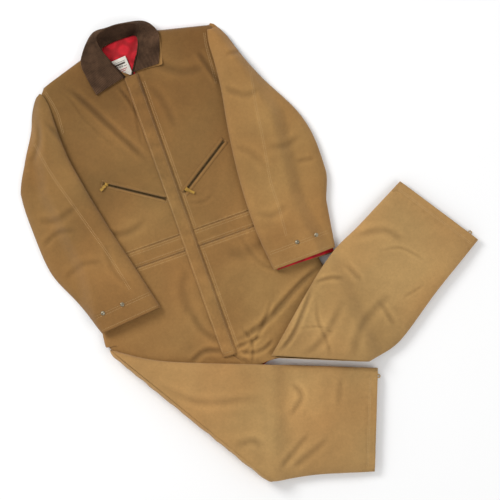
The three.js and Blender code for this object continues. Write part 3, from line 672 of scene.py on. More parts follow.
def seat_piece(name):
    """One half of the seat from the centre line out, under the thigh's front."""
    rows = station_rows(BAND_END, FOLD, name, 7.0)
    x, y, to_side = trunk_plan(name, rows, 48, centre=True)
    z = back_height(edge_rise(name, x, y, to_side), x, y)
    relief = 0.5 * waves(x, y, 90, 54)
    piece = trunk_cloth(f"seat_{name}", x, y, z, CANVAS, tone_by_place(x, y), relief, flip=name == "right")
    return settle(piece, "torso", f"seat_panel_{name}")


def whole_back(rows, columns):
    """Plan of the back between both side seams, its top edge raised to the nape."""
    _, outer_right = half_stations("right", True)
    _, outer_left = half_stations("left", True)
    low, high = course(outer_right, rows, 0.85), course(outer_left, rows, 0.85)
    u = 0.5 - 0.5 * np.cos(np.linspace(0, 1, columns) * math.pi * 0.999)
    plan = low[:, None, :] + u[None, :, None] * (high - low)[:, None, :]
    x, y = plan[..., 0], plan[..., 1]
    lift = np.interp(np.abs(x), [0, 30, 58, 232], [51, 49, 44, 0])
    y = y + lift * (1 - smooth(rows / CHEST))[:, None]
    width = np.linalg.norm(high - low, axis=1)[:, None]
    return x, y, np.minimum(u, 1 - u)[None, :] * width


def back_sheet(label, first, last, node, lift, material, inset=1.0):
    """A sheet of the back between two stations, lifted off the canvas if it is the lining."""
    rows = station_rows(first, last, "right", 6.0)
    x, y, to_side = whole_back(rows, 110)
    seams = [[(side * 300, 29), (side * 58, 90), (side * 20, 97), (0, 97)] for side in (-1, 1)]
    shoulder = np.minimum(*[np.abs(distance_to(x, y, seam)[0]) for seam in seams])
    shoulder = np.where(y > 88, 60, shoulder) * np.where(np.abs(x) < 60, 3, 1)
    rise = crown(to_side, ROUND) * crown(shoulder + 0.5, ROUND * 0.8)
    z = back_height(rise, x, y, lift)
    relief = 0.5 * waves(x, y, 90, 54)
    if lift:
        z = z + 0.8 * waves(x, y, 34, 55)
        x, y = x * inset, y - 1.5
    piece = trunk_cloth(label, x, y, z, material, tone_by_place(x, y), relief)
    return settle(piece, "torso", node)


def inner_sheet(label, name, first, last, node, drop):
    """A lining sheet that hangs a little below the front it belongs to."""
    rows = station_rows(first, last, name, 9.0)
    x, y, to_side = trunk_plan(name, rows, 40)
    z, _ = front_height(name, x, y, to_side)
    z = np.minimum(z, TUBE) - drop * edge_rise(name, x, y, to_side) - 1.6 + 0.7 * waves(x, y, 34, 57)
    z = np.minimum(z, TUBE - drop)
    piece = cloth_piece(label, TRUNK.out(x * 0.985, y, z), np.stack([x, y], -1), SATIN, flip=name == "left")
    return settle(piece, "torso", node)


CROTCH_PULL = 14.0     # extra draw of the thigh lining's inner edge, below the crotch


def thigh_lining(name):
    """A flattened quilt tube: its upper sheet, then its lower sheet back to the inner edge."""
    rows = station_rows(BAND_END, FOLD, name, 9.0)[:-1]
    x, y, to_side = trunk_plan(name, rows, 40)
    rise = crown(to_side, ROUND)
    middle = SEAM_LEVEL + 0.5
    upper = middle + (TUBE - 12 - middle) * rise + 0.5 * waves(x, y, 34, 58)
    lower = middle - (middle - 3.2) * rise + 0.3 * waves(x, y, 34, 59)
    outer_half = np.linspace(0, 1, 40) > 0.5
    pull = np.where(outer_half[None, :], 3.0, -3.0 - CROTCH_PULL * smooth(rows - CROTCH + 1)[:, None])
    x = x - SIDES[name] * pull * (1 - rise)
    grid = np.concatenate([TRUNK.out(x, y, upper), TRUNK.out(x, y, lower)[:, ::-1]], 1)
    flat = np.concatenate([np.stack([x, y], -1), np.stack([x, y], -1)[:, ::-1]], 1)
    piece = cloth_piece(f"thigh_quilt_{name}", grid, flat, SATIN, flip=name == "left", thick=0.9)
    return settle(piece, "torso", f"thigh_lining_{name}")


# ------------------------------------------------------------------ bent padded tubes
def padded_ring(count):
    """Share across the tube and the upper (1) or lower (-1) sheet, once round, packed at the seams."""
    half = np.linspace(0, 1, count // 2 + 1)
    across = 0.5 - 0.5 * np.cos(math.pi * half)
    share = np.concatenate([across, across[::-1][1:-1]])
    sheet = np.concatenate([np.ones(len(across)), -np.ones(len(across) - 2)])
    sheet[0] = sheet[len(across) - 1] = 0
    return share, sheet


SLEEVE_EDGES = {
    "left": {"west": [(0, -20), (0.21, -31), (0.43, -56), (0.63, -72), (0.83, -77), (1, -69)],
             "east": [(0, 20), (0.21, 64), (0.47, 138), (0.7, 145), (0.81, 120), (1, 99)]},
    "right": {"west": [(0, -30), (0.13, -67), (0.25, -120), (0.35, -159), (0.52, -171), (0.7, -171),
                       (0.86, -138),
                       (1, -114)],
              "east": [(0, 6), (0.26, -8), (0.42, -2), (0.62, 13), (0.79, 30), (1, 50)]},
}
SLEEVE_CREASES = {
    "left": [([(-1, -76), (47, -80), (80, -116)], 9, 3.4), ([(-30, -150), (20, -190), (60, -190)], 12, 3.0),
             ([(118, -330), (70, -345), (20, -330)], 12, 2.8), ([(130, -400), (80, -392)], 9, 3.0),
             ([(-60, -300), (-20, -330), (10, -390)], 12, 2.2),
             ([(-66, -480), (-20, -500), (30, -486)], 12, 2.2)],
    "right": [([(-23, -80), (-6, -130), (8, -181)], 9, 3.4),
              ([(-150, -300), (-100, -322), (-30, -312)], 12, 3.0),
              ([(-168, -370), (-110, -352), (-60, -372)], 10, 2.8),
              ([(-40, -60), (-60, -120), (-110, -170)], 12, 3.0),
              ([(-150, -470), (-90, -452), (-30, -470)], 12, 2.6),
              ([(-10, -420), (-20, -500), (10, -560)], 10, 2.4)],
}
SLEEVE_SEAM = {
    "right": [(-77, -120), (-67, -214), (-41, -349), (-19, -462), (-6, -560)],
    "left": [(51, -120), (30, -219), (18, -301), (-3, -416), (-6, -483), (-14, -561)],
}
CUFF_BAND = 42.0
FLOOR_GAP = 1.2        # sleeve cloth stays this high off the floor, so its thickness clears it
# the sleeve head is rounded off between these shares of its length
ROOT_START = {"right": 0.014, "left": -0.03}
ROOT_ROUND = {"right": 0.10, "left": 0.07}


def edge_reach(table, share, soft=1.0):
    """Smooth reach of an edge given at unequal shares of the length."""
    shares = np.array([row[0] for row in table])
    place = np.interp(share, shares, np.arange(len(shares)))
    return course(table, place, soft)[..., 1]


def trunk_edge(y):
    """Half width of the trunk at a height y of its frame."""
    return np.interp(y, [-1000, -700, -618, -465, -422, -210, -50, 25, 46, 60],
                     [310, 310, 300, 280, 276, 300, 262, 240, 228, 150])


def sleeve_points(name, share, across, sheet, inset=0.0, out=0.0):
    """Points of a sleeve: west to east edge, lying on the trunk and dropping to the floor past it."""
    side, flat = SIDES[name], SLEEVE[name]
    west, east = [edge_reach(SLEEVE_EDGES[name][edge], share) for edge in ("west", "east")]
    short = np.minimum(share - ROOT_ROUND[name], 0) / (ROOT_ROUND[name] - ROOT_START[name])
    round_off = 1 - np.sqrt(np.clip(1 - short ** 2, 0, 1))
    middle = 0.35 * west + 0.65 * east if name == "right" else 0.5 * (west + east)
    west, east = west + (middle - west) * round_off, east + (middle - east) * round_off
    west, east = west + inset, east - inset
    x = west + (east - west) * across
    y = -share * SLEEVE_LENGTH - out + 0 * x
    tx, ty = TRUNK.into(*flat.flat(x, y))
    level = UPPER * (1 - smooth((np.abs(tx) - trunk_edge(ty) + 6) / 46))
    root = smooth((share + 0.01) / 0.23)
    from_west, from_east = x - west, east - x
    inner, outer = (from_west, from_east) if side > 0 else (from_east, from_west)
    rise = crown(inner, 24 + 80 * (1 - root)) * crown(outer, 24 + 8 * (1 - root))
    tall = (9 + 17 * root) - 2 * inset
    seam = 0.42 * tall * (0.15 + 0.85 * root)
    relief = rumple(x, y, 200 + side, 1.7, math.radians(8), 1.9)
    relief = add_creases(relief, x, y, SLEEVE_CREASES[name], 0.6, 0.8)
    lap, _ = distance_to(x, y, SLEEVE_SEAM[name])
    relief = relief + 0.7 * smooth(lap / 3 + 0.5) * bell(lap, 9) * (sheet > 0)
    cuff = SLEEVE_LENGTH * (1 - share)
    calm = smooth((cuff - 20) / 60)
    row = np.abs(cuff - CUFF_BAND)
    relief = relief * (0.25 + 0.75 * calm) - 0.8 * bell(row, 2.4)
    relief = relief * smooth((share - ROOT_START[name]) / 0.07)
    upper = seam + (tall - 0.4 - seam) * rise + np.minimum(relief, 3.0) * rise
    lower = seam * (1 - crown(inner, 20) * crown(outer, 20)) + 0.4
    z = level + inset + np.where(sheet > 0, upper, np.where(sheet < 0, lower, seam))
    return x, y, np.maximum(z, FLOOR_GAP), relief


def leg_edges(name):
    """South and north edges of a lower leg in its own frame, from the fold to the hem."""
    ends = [LEG[name].into(*TRUNK.flat(*end)) for end in fold_ends(name)]
    south, north = sorted(ends, key=lambda point: point[1])
    length = LEG_LENGTH[name]
    if name == "right":
        south_run = [south, (240, -158), (330, -142), (length, -131)]
        middle = 0.5 * (north[0] + length)
        north_run = [north, (0.6 * north[0] + 0.4 * middle, 137), (middle + 60, 136), (length, 135)]
    else:
        south_run = [south, (146, -121), (310, -121), (length, -127)]
        north_run = [north, (193, 153), (330, 139), (length, 123)]
    return np.array(south_run, float), np.array(north_run, float)


LINING_IN = {"leg": 7.5, "sleeve": 5.0}    # how far the quilting lies inside the canvas
LEG_ZIP_SIDE = {"right": 113.0, "left": -100.0}
LEG_ZIP_LENGTH = 225.0
LEG_CREASES = {
    "left": [([(120, 120), (70, 84), (30, 20), (-40, -60), (-74, -96)], 7, 3.4),
             ([(20, 110), (60, 60), (60, 20)], 5, 2.6),
             ([(300, 60), (340, 20), (352, -50)], 6, 2.4), ([(240, -60), (300, -84)], 6, 2.4),
             ([(134, 147), (59, 123), (-10, 108), (-74, 112)], 9, 5.5),
             ([(134, 147), (172, 118), (193, 86)], 8, 4.5),
             ([(223, 109), (213, 47)], 10, 3.0), ([(292, 134), (350, 81), (360, 18)], 14, 3.0),
             ([(199, -21), (171, -90)], 10, 3.0), ([(20, -60), (120, -20), (240, -30)], 16, 3.0),
             ([(-60, 60), (40, 40), (150, 60)], 14, 3.2)],
    "right": [([(250, 93), (279, 56), (248, 2)], 11, 4.0), ([(226, -132), (305, -32)], 11, 3.6),
              ([(257, -132), (356, -44)], 12, 3.2), ([(-120, 84), (22, 36), (175, 53)], 15, 2.8),
              ([(60, -110), (150, -60), (190, -80)], 14, 3.0), ([(380, 110), (372, 30)], 12, 2.4)],
}


def drop_line(name):
    """Where a lower leg comes down off the trunk: a point of the line and the way down."""
    near, far = fold_ends(name)
    start, end = ((near, (80, -816)) if name == "right" else (far, (304, -616)))
    a, b = [np.array(LEG[name].into(*TRUNK.flat(*point))) for point in (start, end)]
    along = (b - a) / np.linalg.norm(b - a)
    return a, np.array([along[1], -along[0]])


def leg_points(name, share, across, sheet, inset=0.0, out=0.0):
    """Points of a lower leg between its edges, level over the thigh and dropping past it."""
    south, north = leg_edges(name)
    count = len(south) - 1
    low = course(south, share * count, 0.9)
    high = course(north, share * count, 0.9)
    span = np.linalg.norm(high - low, axis=-1)
    squeeze = inset / span
    across = squeeze + (1 - 2 * squeeze) * across
    x = low[..., 0] + (high - low)[..., 0] * across + out
    y = low[..., 1] + (high - low)[..., 1] * across
    to_edge = np.minimum(across, 1 - across) * span
    start, down = drop_line(name)
    past = (x - start[0]) * down[0] + (y - start[1]) * down[1]
    level = UPPER - (UPPER - LEG_REST) * smooth((past - 2) / 46)
    rise = crown(to_edge, ROUND)
    fold_line = np.abs(distance_to(x, y, [south[0], north[0]])[0])
    hem = LEG_LENGTH[name] - x
    relief = rumple(x, y, 300 + SIDES[name], 1.8, math.radians(75), 1.9)
    relief = add_creases(relief, x, y, LEG_CREASES[name], 0.55, 0.9)
    row = np.abs(hem - 22)
    relief = relief + 0.6 * waves(x, y, 20, 61) * bell(row, 12) - 0.9 * bell(row, 2.4)
    relief = relief * smooth(fold_line / 34)
    tall = TUBE - 2 * inset - 7 * smooth(1 - hem / 70)
    seam = SEAM_LEVEL * tall / TUBE
    bottom = 0.3 + np.where(sheet < 0, 0.35 * np.maximum(1 + waves(x, y, 120, 66), 0), 0)
    lane = np.abs(y - LEG_ZIP_SIDE[name])
    on_zip = bell(lane, 7.5, 4) * smooth((x - (LEG_LENGTH[name] - LEG_ZIP_LENGTH - 6)) / 6)
    lower = seam * (1 - rise) + bottom + 2.6 * on_zip * (sheet < 0)
    upper = seam + (tall - 0.3 - seam) * rise + np.clip(relief, -9, 3.4) * rise
    z = level + inset + np.where(sheet > 0, upper, np.where(sheet < 0, lower, seam))
    return x, y, z, relief


def tube_piece(label, points_of, name, flat, shares, ring, material, tone, length, rim,
               inside=0.0, thick=1.2):
    """A ring grid along a tube; rim turns its open end in and back inside as a facing."""
    across, sheet = padded_ring(ring)
    rows = [(share, 0.0, 0.0) for share in shares]
    if rim:
        rows += [(1.0, 0.5, 0.9), (1.0, 1.2, 1.1), (1.0, 2.0, 0.4)]
        rows += [(1.0 - back / length, 2.0, 0.0) for back in (8, 20, 34)]
    grids, flats, tones, reliefs = [], [], [], []
    for share, inset, out in rows:
        x, y, z, relief = points_of(name, np.full(across.shape, share), across, sheet, inset + inside, out)
        grids.append(flat.out(x, y, z))
        flats.append(np.stack([x + 400 * (sheet < 0), y], -1))
        edge = np.minimum(across, 1 - across)
        # turned-in rim rows get lower relief: painted shade inside the cuff and hem
        reliefs.append(relief / 3.2 - 0.35 * (inset > 1))
        tones.append(tone(x, y) + 0.08 * bell(edge, 0.012))
    grid = np.array(grids)
    return cloth_piece(label, grid, np.array(flats), material, np.array(tones), np.array(reliefs),
                       ring=True, flip=faces_inwards(grid), thick=thick)


def faces_inwards(grid):
    """True when a ring grid's faces would point inwards."""
    middle = len(grid) // 2
    first, centre = grid[middle], grid[middle].mean(0)
    along = grid[middle + 1].mean(0) - centre
    quarter = len(first) // 4
    round_way = np.cross(first[quarter] - centre, first[quarter + 2] - centre)
    return bool(np.dot(round_way, along) < 0)


def rows_over(length, spacing, start=0.0, end=1.0):
    """Shares of a length from start to end, about one spacing apart."""
    return np.linspace(start, end, int((end - start) * length / spacing) + 1)


SLEEVE_TONE = {"right": (0.34, 0.10), "left": (0.62, 0.06)}
QUILT_THICK = 1.5


def bend_with_arm(piece, name):
    """Bake the sleeve's canvas where it lies; the two points found at the shoulder are not used."""
    start, end = [SLEEVE[name].out(0, -down, UPPER) for down in (8, 130)]
    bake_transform(piece)


CUFF_REACH = {"right": 0.5, "left": 10.0}     # how far the under cuff shows past the upper one


def cuff_sheet(label, name, material, reach, lift):
    """The turned-in lining of a cuff, lying on the under cuff and showing past the upper one."""
    across, back = np.meshgrid(np.linspace(0.04, 0.975, 70), np.linspace(0, 1, 14))
    out = -26 + (26 + reach * (0.4 + 0.6 * across)) * back
    x, y, z, _ = sleeve_points(name, np.ones(across.shape), across, -np.ones(across.shape), 2.0, out)
    z = z + 2.2 + lift + 0.5 * waves(x, y, 30, 141)
    piece = cloth_piece(label, SLEEVE[name].out(x, y, z), np.stack([x, y], -1), material, 0.4, thick=0.9)
    settle(piece, f"sleeve_{name}", None)


def make_sleeve(name):
    """The canvas, the quilting and the turned-in cuff of one sleeve."""
    flat = SLEEVE[name]
    base, fade = SLEEVE_TONE[name]

    def tone(x, y):
        return base + fade * np.clip(-y / SLEEVE_LENGTH, 0, 1) + 0.05 * waves(x, y, 200, 92)

    rows = rows_over(SLEEVE_LENGTH, 4.0, ROOT_START[name])
    outer = tube_piece(f"sleeve_canvas_{name}", sleeve_points, name, flat, rows, 150, CANVAS, tone,
                       SLEEVE_LENGTH, True)
    rows = rows_over(SLEEVE_LENGTH, 9.0, 0.2, 0.985)
    quilt = tube_piece(f"sleeve_quilt_{name}", sleeve_points, name, flat, rows, 72, SATIN, tone,
                       SLEEVE_LENGTH, False, LINING_IN["sleeve"], QUILT_THICK)
    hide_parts(f"sleeve_{name}_upper", f"sleeve_{name}_under")
    bend_with_arm(outer, name)
    settle(quilt, f"sleeve_{name}", f"sleeve_{name}_lining")
    for lip, material, reach, drop in (("cuff_lip", CANVAS, CUFF_REACH[name] + 3, 0.0),
                                       ("cuff_facing", SATIN, CUFF_REACH[name], 1.3)):
        cuff_sheet(f"{lip}_{name}", name, material, reach, drop)
    return outer


def make_leg(name):
    """The canvas and the quilting of one lower leg."""
    flat = LEG[name]

    def tone(x, y):
        base = 0.66 if name == "right" else 0.5 + 0.25 * np.clip(x / 400, 0, 1)
        return base + 0.06 * waves(x, y, 240, 93)

    length = LEG_LENGTH[name]
    outer = tube_piece(f"leg_canvas_{name}", leg_points, name, flat, rows_over(length, 4.0, 0.006), 150,
                       LEG_CANVAS, tone, length, True)
    rows = rows_over(length, 9.0, 0.03, 0.97)
    quilt = tube_piece(f"leg_quilt_{name}", leg_points, name, flat, rows, 72, SATIN, tone, length, False,
                       LINING_IN["leg"], QUILT_THICK)
    settle(outer, f"lower_leg_{name}", [f"leg_{name}_back", f"leg_{name}_front"])
    settle(quilt, f"lower_leg_{name}", f"leg_{name}_lining")
    return outer


def make_fold(name):
    """The knee's U-turn: the tube's ring swept half a turn about the fold line, flattened outwards."""
    near, far = [np.array(TRUNK.flat(*point)) for point in fold_ends(name)]
    near = near + (far - near) / np.linalg.norm(far - near) * FOLD_SHORT[name]
    length = np.linalg.norm(far - near)
    along = (far - near) / length
    leg_way = LEG[name].x
    outward = np.array([-along[1], along[0]])
    if outward @ leg_way > 0:
        outward = -outward
    half = np.linspace(0, 1, 60)
    spread = 0.5 - 0.5 * np.cos(math.pi * half)
    to_end = np.minimum(spread, 1 - spread) * length
    rise = crown(to_end, ROUND)
    half_way = FOLD_LEVEL / 2
    outer_radius = half_way + (half_way - 0.4) * rise
    turn = np.linspace(-math.pi / 2, math.pi / 2, 17)
    proud = FOLD_PROUD[name] * (0.35 + 0.65 * rise) / TUBE
    pucker = 1 + 0.10 * waves(spread * length, 0 * spread, 46, 71)
    cos, sin = np.cos(turn)[:, None], np.sin(turn)[:, None]
    out = outer_radius * proud * pucker * cos
    up = outer_radius * sin
    x = near[0] + along[0] * spread * length + outward[0] * out
    y = near[1] + along[1] * spread * length + outward[1] * out
    grid = np.stack([x, y, FOLD_LEVEL + up], -1) * MM
    flat = np.stack([spread * length + 0 * up, turn[:, None] * outer_radius], -1)
    normal = np.cross(grid[8, 31] - grid[8, 30], grid[9, 30] - grid[8, 30])
    flip = normal[:2] @ outward < 0
    # painted highlight: the fold's rounded outer edge is made paler than where it turns onto the leg above
    # and below
    relief = 0.5 * cos + 0 * up
    piece = cloth_piece(f"knee_fold_{name}", grid, flat, LEG_CANVAS, 0.72, relief, flip=bool(flip), thick=1.0)
    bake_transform(piece)


def make_trunk():
    """Front, waistband, thighs, seat, back and their linings; the front panels are given back."""
    panels = {}
    for name in SIDES:
        panels[f"front_{name}"] = front_piece(f"front_{name}", name, 0, WAIST, f"front_panel_{name}")
        panels[f"band_{name}"] = front_piece(f"band_{name}", name, WAIST, BAND_END, f"waistband_front_{name}")
        panels[f"thigh_{name}"] = front_piece(f"thigh_{name}", name, BAND_END, FOLD, f"thigh_front_{name}")
        seat_piece(name)
        inner_sheet(f"front_quilt_{name}", name, 0, BAND_END, f"front_lining_{name}", 7.0)
        thigh_lining(name)
    back_sheet("back_canvas", 0, WAIST, "back_panel", 0.0, CANVAS)
    back_sheet("back_band", WAIST, BAND_END, "waistband_back", 0.0, CANVAS)
    back_sheet("back_quilt", 0, BAND_END, "back_lining", 2.6, SATIN, 0.985)
    return panels


# ------------------------------------------------------------------ collar and label
ROLL = [(-23, 4, 31), (-38, 46, 36), (-54, 94, 43), (-52, 124, 49), (-20, 133, 52), (17, 131, 53),
        (52, 118, 50),
        (45, 88, 43), (33, 58, 37), (3, 9, 31)]
OUTER_EDGE = [(-104, -15, 30.0), (-113, 38, 29.5), (-112, 82, 29.5), (-66, 136, 25), (-22, 141, 20),
              (17, 139, 18),
              (74, 124, 24), (98, 86, 29.5), (89, 46, 30.0), (73, 8, 30.0)]
NECK_SEAM = [(-19, 2, 27), (-34, 38, 26), (-52, 84, 21), (-44, 98, 11), (-20, 101, 8), (17, 101, 8),
             (40, 97, 11),
             (40, 74, 21), (28, 50, 25), (0, 6, 27)]
LEAF_SPAN = {"right": (0.0, 2.6), "left": (6.5, 9.0)}
COLLAR_THICK = 2.4
WALE = 3.1


def run_along(path):
    """Distance along a path to each of its points."""
    return np.concatenate([[0], np.cumsum(np.linalg.norm(np.diff(path, axis=0), axis=1))])


def collar_surface(a, b):
    """Collar points: a runs round the neck, b from the neck seam (-1) over the roll (0) to the edge (1)."""
    roll, outer, neck = course(ROLL, a), course(OUTER_EDGE, a), course(NECK_SEAM, a)
    up = np.array([0, 0, 1.0])
    inner_mid = 0.45 * neck + 0.55 * roll - 1.5 * up
    inner_high = 0.12 * neck + 0.88 * roll - 0.4 * up
    outer_high = 0.90 * roll + 0.10 * outer + 0.2 * up
    outer_mid = 0.55 * roll + 0.45 * outer + 1.2 * up
    profile = np.stack([neck, inner_mid, inner_high, roll, outer_high, outer_mid, outer], 0)
    marks = np.interp(b, [-1, -0.5, -0.12, 0, 0.12, 0.5, 1], np.arange(7))
    return np.stack([course(profile[:, i], marks) for i in range(profile.shape[1])], 0)


def collar_patch(label, a_span, b_span, rows, columns, material, body, node=None, low=0.0, wales=True,
                 spread=0.0, thick=COLLAR_THICK):
    """A piece of the collar over a span of a and b."""
    a = np.linspace(*a_span, rows)
    b = np.linspace(*b_span, columns)
    points = collar_surface(a, b)
    flat_v = run_along(points[rows // 2])
    flat_u = run_along(points[:, columns // 2])
    x, y, z = points[..., 0], points[..., 1], points[..., 2]
    buckle = waves(x, y, 60, 81) * 1.2 * smooth(np.abs(b) * 1.4)[None, :]
    if wales:
        z = z + 0.28 * np.cos(2 * math.pi * flat_v / WALE)[None, :]
    z = z + buckle - low
    towards_end = smooth((a - a_span[0]) / (a_span[1] - a_span[0]) * 1.3 - 0.3)
    slip = spread * smooth((b - 0.2) / 0.8)[None, :] * towards_end[:, None]
    x = x + slip * np.sign(x)
    y = y - 0.6 * slip
    tip = a_span[0] if a_span[0] < 1 else a_span[1]
    edge = np.minimum(np.abs(b[None, :] - b_span[1]), np.abs(a[:, None] - tip))
    worn = 0.7 * bell(edge, 0.05)
    flat = np.stack(np.broadcast_arrays(flat_u[:, None], flat_v[None, :]), -1)
    # relief: buckle / 2 is painted shade in the buckles' hollows and painted highlight on their crests; worn
    # adds real wear at the edges
    piece = cloth_piece(label, TRUNK.out(x, y, z), flat, material, 0.4, buckle / 2 + worn,
                        thick=thick, flip=True)
    if node:
        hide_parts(node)
    if body == "torso":
        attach(piece, "torso")
        return piece
    name = body.split("_")[1]
    hinge, way = pivot(f"collar_{name}_flip"), axis(f"collar_{name}_flip")
    outward = np.array([way[1], -way[0], 0.0])
    base = TRUNK.into(*hinge[:2])
    if TRUNK.into(*(hinge[:2] + outward[:2]))[0] * SIDES[name] < base[0] * SIDES[name]:
        outward = -outward
    middle = hinge + 50 * way * np.sign(TRUNK.into(*(hinge[:2] + way[:2]))[1] - base[1])
    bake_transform(piece)
    return piece


def make_collar():
    """Both leaves with their under-collars and stands, and the back of the collar between them."""
    for name in SIDES:
        low, high = LEAF_SPAN[name]
        collar_patch(f"collar_{name}", (low, high), (0.0, 1.0), 60, 150, CORDUROY,
                     f"collar_{name}", f"collar_leaf_{name}")
        collar_patch(f"collar_under_{name}", (low, high), (0.06, 1.0), 40, 40, CANVAS,
                     f"collar_{name}", f"under_collar_{name}", COLLAR_THICK + 0.6, False,
                     8.0 if name == "left" else 1.5, 0.9)
        collar_patch(f"collar_stand_{name}", (low, high), (-1.0, 0.02), 60, 70, CORDUROY, "torso")
    collar_patch("collar_nape", (LEAF_SPAN["right"][1], LEAF_SPAN["left"][0]), (-1.0, 1.0), 90, 150, CORDUROY,
                 "torso", "collar_back")


LABEL_CORNER = (-54.0, 4.0)
LABEL_SIZE = (56.0, 50.0)
LABEL_TURN = math.radians(4.0)
LABEL_MARKS = [                       # plain woven marks: west, south, wide, tall, ink
    (5, 40, 46, 1.2, "ink"), (5, 27, 46, 1.2, "ink"), (7, 29.5, 9, 9, "ink"), (19, 33, 30, 4.5, "ink"),
    (19, 29.5, 22, 1.6, "ink"), (8, 20, 40, 1.8, "rule"), (12, 15.5, 32, 1.8, "rule"),
    (16, 10, 24, 1.1, "ink"),
    (20, 6.5, 16, 1.1, "ink"),
]


def label_level(x, y):
    """Height of the label's cloth in the neck."""
    return 10.2 + 1.0 * np.sin(x / 13.0) + 0.5 * np.sin(y / 9.0 + 1)


def label_points(u, v, lift=0.0):
    """Places on the label, u along it and v up it, from its lower corner."""
    x = LABEL_CORNER[0] + u * math.cos(LABEL_TURN) - v * math.sin(LABEL_TURN)
    y = LABEL_CORNER[1] + u * math.sin(LABEL_TURN) + v * math.cos(LABEL_TURN)
    return TRUNK.out(x, y, label_level(x, y) + lift)


def make_label():
    """The blank neck label and its woven marks, one mesh for each colour of thread."""
    u, v = np.meshgrid(np.linspace(0, LABEL_SIZE[0], 40), np.linspace(0, LABEL_SIZE[1], 36))
    label = cloth_piece("neck_label_cloth", label_points(u, v), np.stack([u, v], -1), LABEL_CLOTH, thick=0.5)
    settle(label, "torso", "neck_label")
    for ink, material in (("ink", LABEL_INK), ("rule", LABEL_RULE)):
        marks = [mark for mark in LABEL_MARKS if mark[4] == ink]
        points, faces, first = [], [], 0
        for west, south, wide, tall, _ in marks:
            u, v = np.meshgrid(np.linspace(west, west + wide, 14), np.linspace(south, south + tall, 3))
            points.append(label_points(u, v, 0.12).reshape(-1, 3))
            faces.append(grid_faces(3, 14) + first)
            first += 42
        piece = mesh_object(f"neck_label_{ink}", np.concatenate(points), np.concatenate(faces), material)
        settle(piece, "torso", None)


# ------------------------------------------------------------------ placket
PLACKET_PROFILE = [(-22, 28.6), (-20.5, 30.4), (-16, 32.2), (-9, 34.0), (0, 34.8), (7, 34.4), (11, 31.6),
                   (13.4, 28.6),
                   (14, 27.2)]
PLACKET_THICK = 2.0


def make_placket():
    """A strip arched over the zip: stitched down on its left edge, its right edge free."""
    across = course(PLACKET_PROFILE, np.linspace(0, len(PLACKET_PROFILE) - 1, 46))
    rows = np.linspace(PLACKET["top"] + 17, PLACKET["bottom"] - 5, 160)
    x = across[None, :, 0] + 0.7 * np.sin(rows / 70)[:, None] * smooth((across[:, 0] + 16) / -8)[None, :]
    y = rows[:, None] + 0 * x
    free = smooth((6 - across[:, 0]) / 24)[None, :]
    relief = 0.3 * waves(x, y, 60, 101, math.pi / 2, 0.7) + 0.14 * waves(x, y, 13, 102)
    dent = sum(bell(y - at, 5) for at in (-186, -244, -332, -424, -463))
    ends = smooth((PLACKET["top"] + 17 - rows) / 12) * smooth((rows - PLACKET["bottom"]) / 12)
    turned_down = 2.4 * (1 - ends)[:, None] * (across[:, 1] > 30)[None, :]
    z = across[None, :, 1] + (0.9 * relief - 0.8 * dent) * free - turned_down
    over_pull = (3.8 * bell(rows + 34, 26))[:, None]
    z = z + over_pull * crown(across[:, 0] + 22, 12) * crown(14 - across[:, 0], 8)
    tone = tone_by_place(x, y) + 0.05 + 0.16 * bell(x + 22, 3)
    # relief is lowered at the dents: painted shade in them
    piece = trunk_cloth("placket_strip", x, y, z, CANVAS, tone, relief - 0.4 * dent,
                        thick=PLACKET_THICK, flip=True)
    return settle(piece, "placket", "placket")


# ------------------------------------------------------------------ zips, snaps
TOOTH_PITCH = 2.5


def box_corners(centre, half):
    """Corners of small boxes, (n, 8, 3), from their centres and half sizes."""
    corner = np.array([[sx, sy, sz] for sz in (-1, 1) for sy in (-1, 1) for sx in (-1, 1)], float)
    return centre[:, None, :] + corner[None] * np.asarray(half)


BOX_FACES = np.array([[0, 2, 3, 1], [4, 5, 7, 6], [0, 1, 5, 4], [2, 6, 7, 3], [0, 4, 6, 2], [1, 3, 7, 5]])


def zip_chain(label, flat, start, way, length, reach, body):
    """Two rows of interlocked teeth on corded tapes, along way from start; label is its node."""
    level = chain_level(label)
    way = np.array(way, float)
    left = np.array([-way[1], way[0]])

    def place(u, v, z):
        return flat.out(start[0] + way[0] * u + left[0] * v, start[1] + way[1] * u + left[1] * v, z)

    count = int(length / TOOTH_PITCH)
    along = (np.arange(count) + 0.5) * length / count
    parts, faces, first = [], [], 0
    for side, shift in ((1, 0.0), (-1, TOOTH_PITCH / 2)):
        centre = np.stack([along + shift, np.full(count, side * 1.05), np.full(count, level)], -1)
        boxes = box_corners(centre, (0.72, 1.5, 1.0)).reshape(-1, 3)
        parts.append(place(boxes[:, 0], boxes[:, 1], boxes[:, 2]))
        faces.append((BOX_FACES[None] + 8 * np.arange(count)[:, None, None]).reshape(-1, 4) + first)
        first += 8 * count
    stops = np.array([[1.0, 0, level], [length - 1.0, 0, level]])
    stops = box_corners(stops, (1.0, 2.8, 1.15)).reshape(-1, 3)
    parts.append(place(stops[:, 0], stops[:, 1], stops[:, 2]))
    faces.append(np.concatenate([BOX_FACES, BOX_FACES + 8]) + first)
    chain = mesh_object(f"{label}_teeth", np.concatenate(parts), np.concatenate(faces), CHAIN_METAL_AND_SLIT_SHADE, False)
    settle(chain, body, label)
    for side, word in ((1, "upper"), (-1, "lower")):
        across = np.array([2.2, 2.9, 3.4, 4.2, reach])
        swell = np.array([0.0, 0.55, 0.45, 0.0, 0.0])
        u, v = np.meshgrid(np.linspace(0, length, max(8, int(length / 8))), side * across)
        tape = cloth_piece(f"{label}_tape_{word}", place(u, v, level + 0.2 + swell[:, None] + 0 * u),
                           np.stack([u, v], -1), TAPE, thick=0.7, flip=side < 0)
        settle(tape, body, None)


CHAIN_REACH = 5.7      # half width of a small zip's tapes
MAIN_REACH = 7.7
MAIN_LENGTH = 749.0


def chain_level(node):
    """Middle height of a zip chain's node, in millimetres."""
    low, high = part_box(node)
    return 500 * (low[2] + high[2])


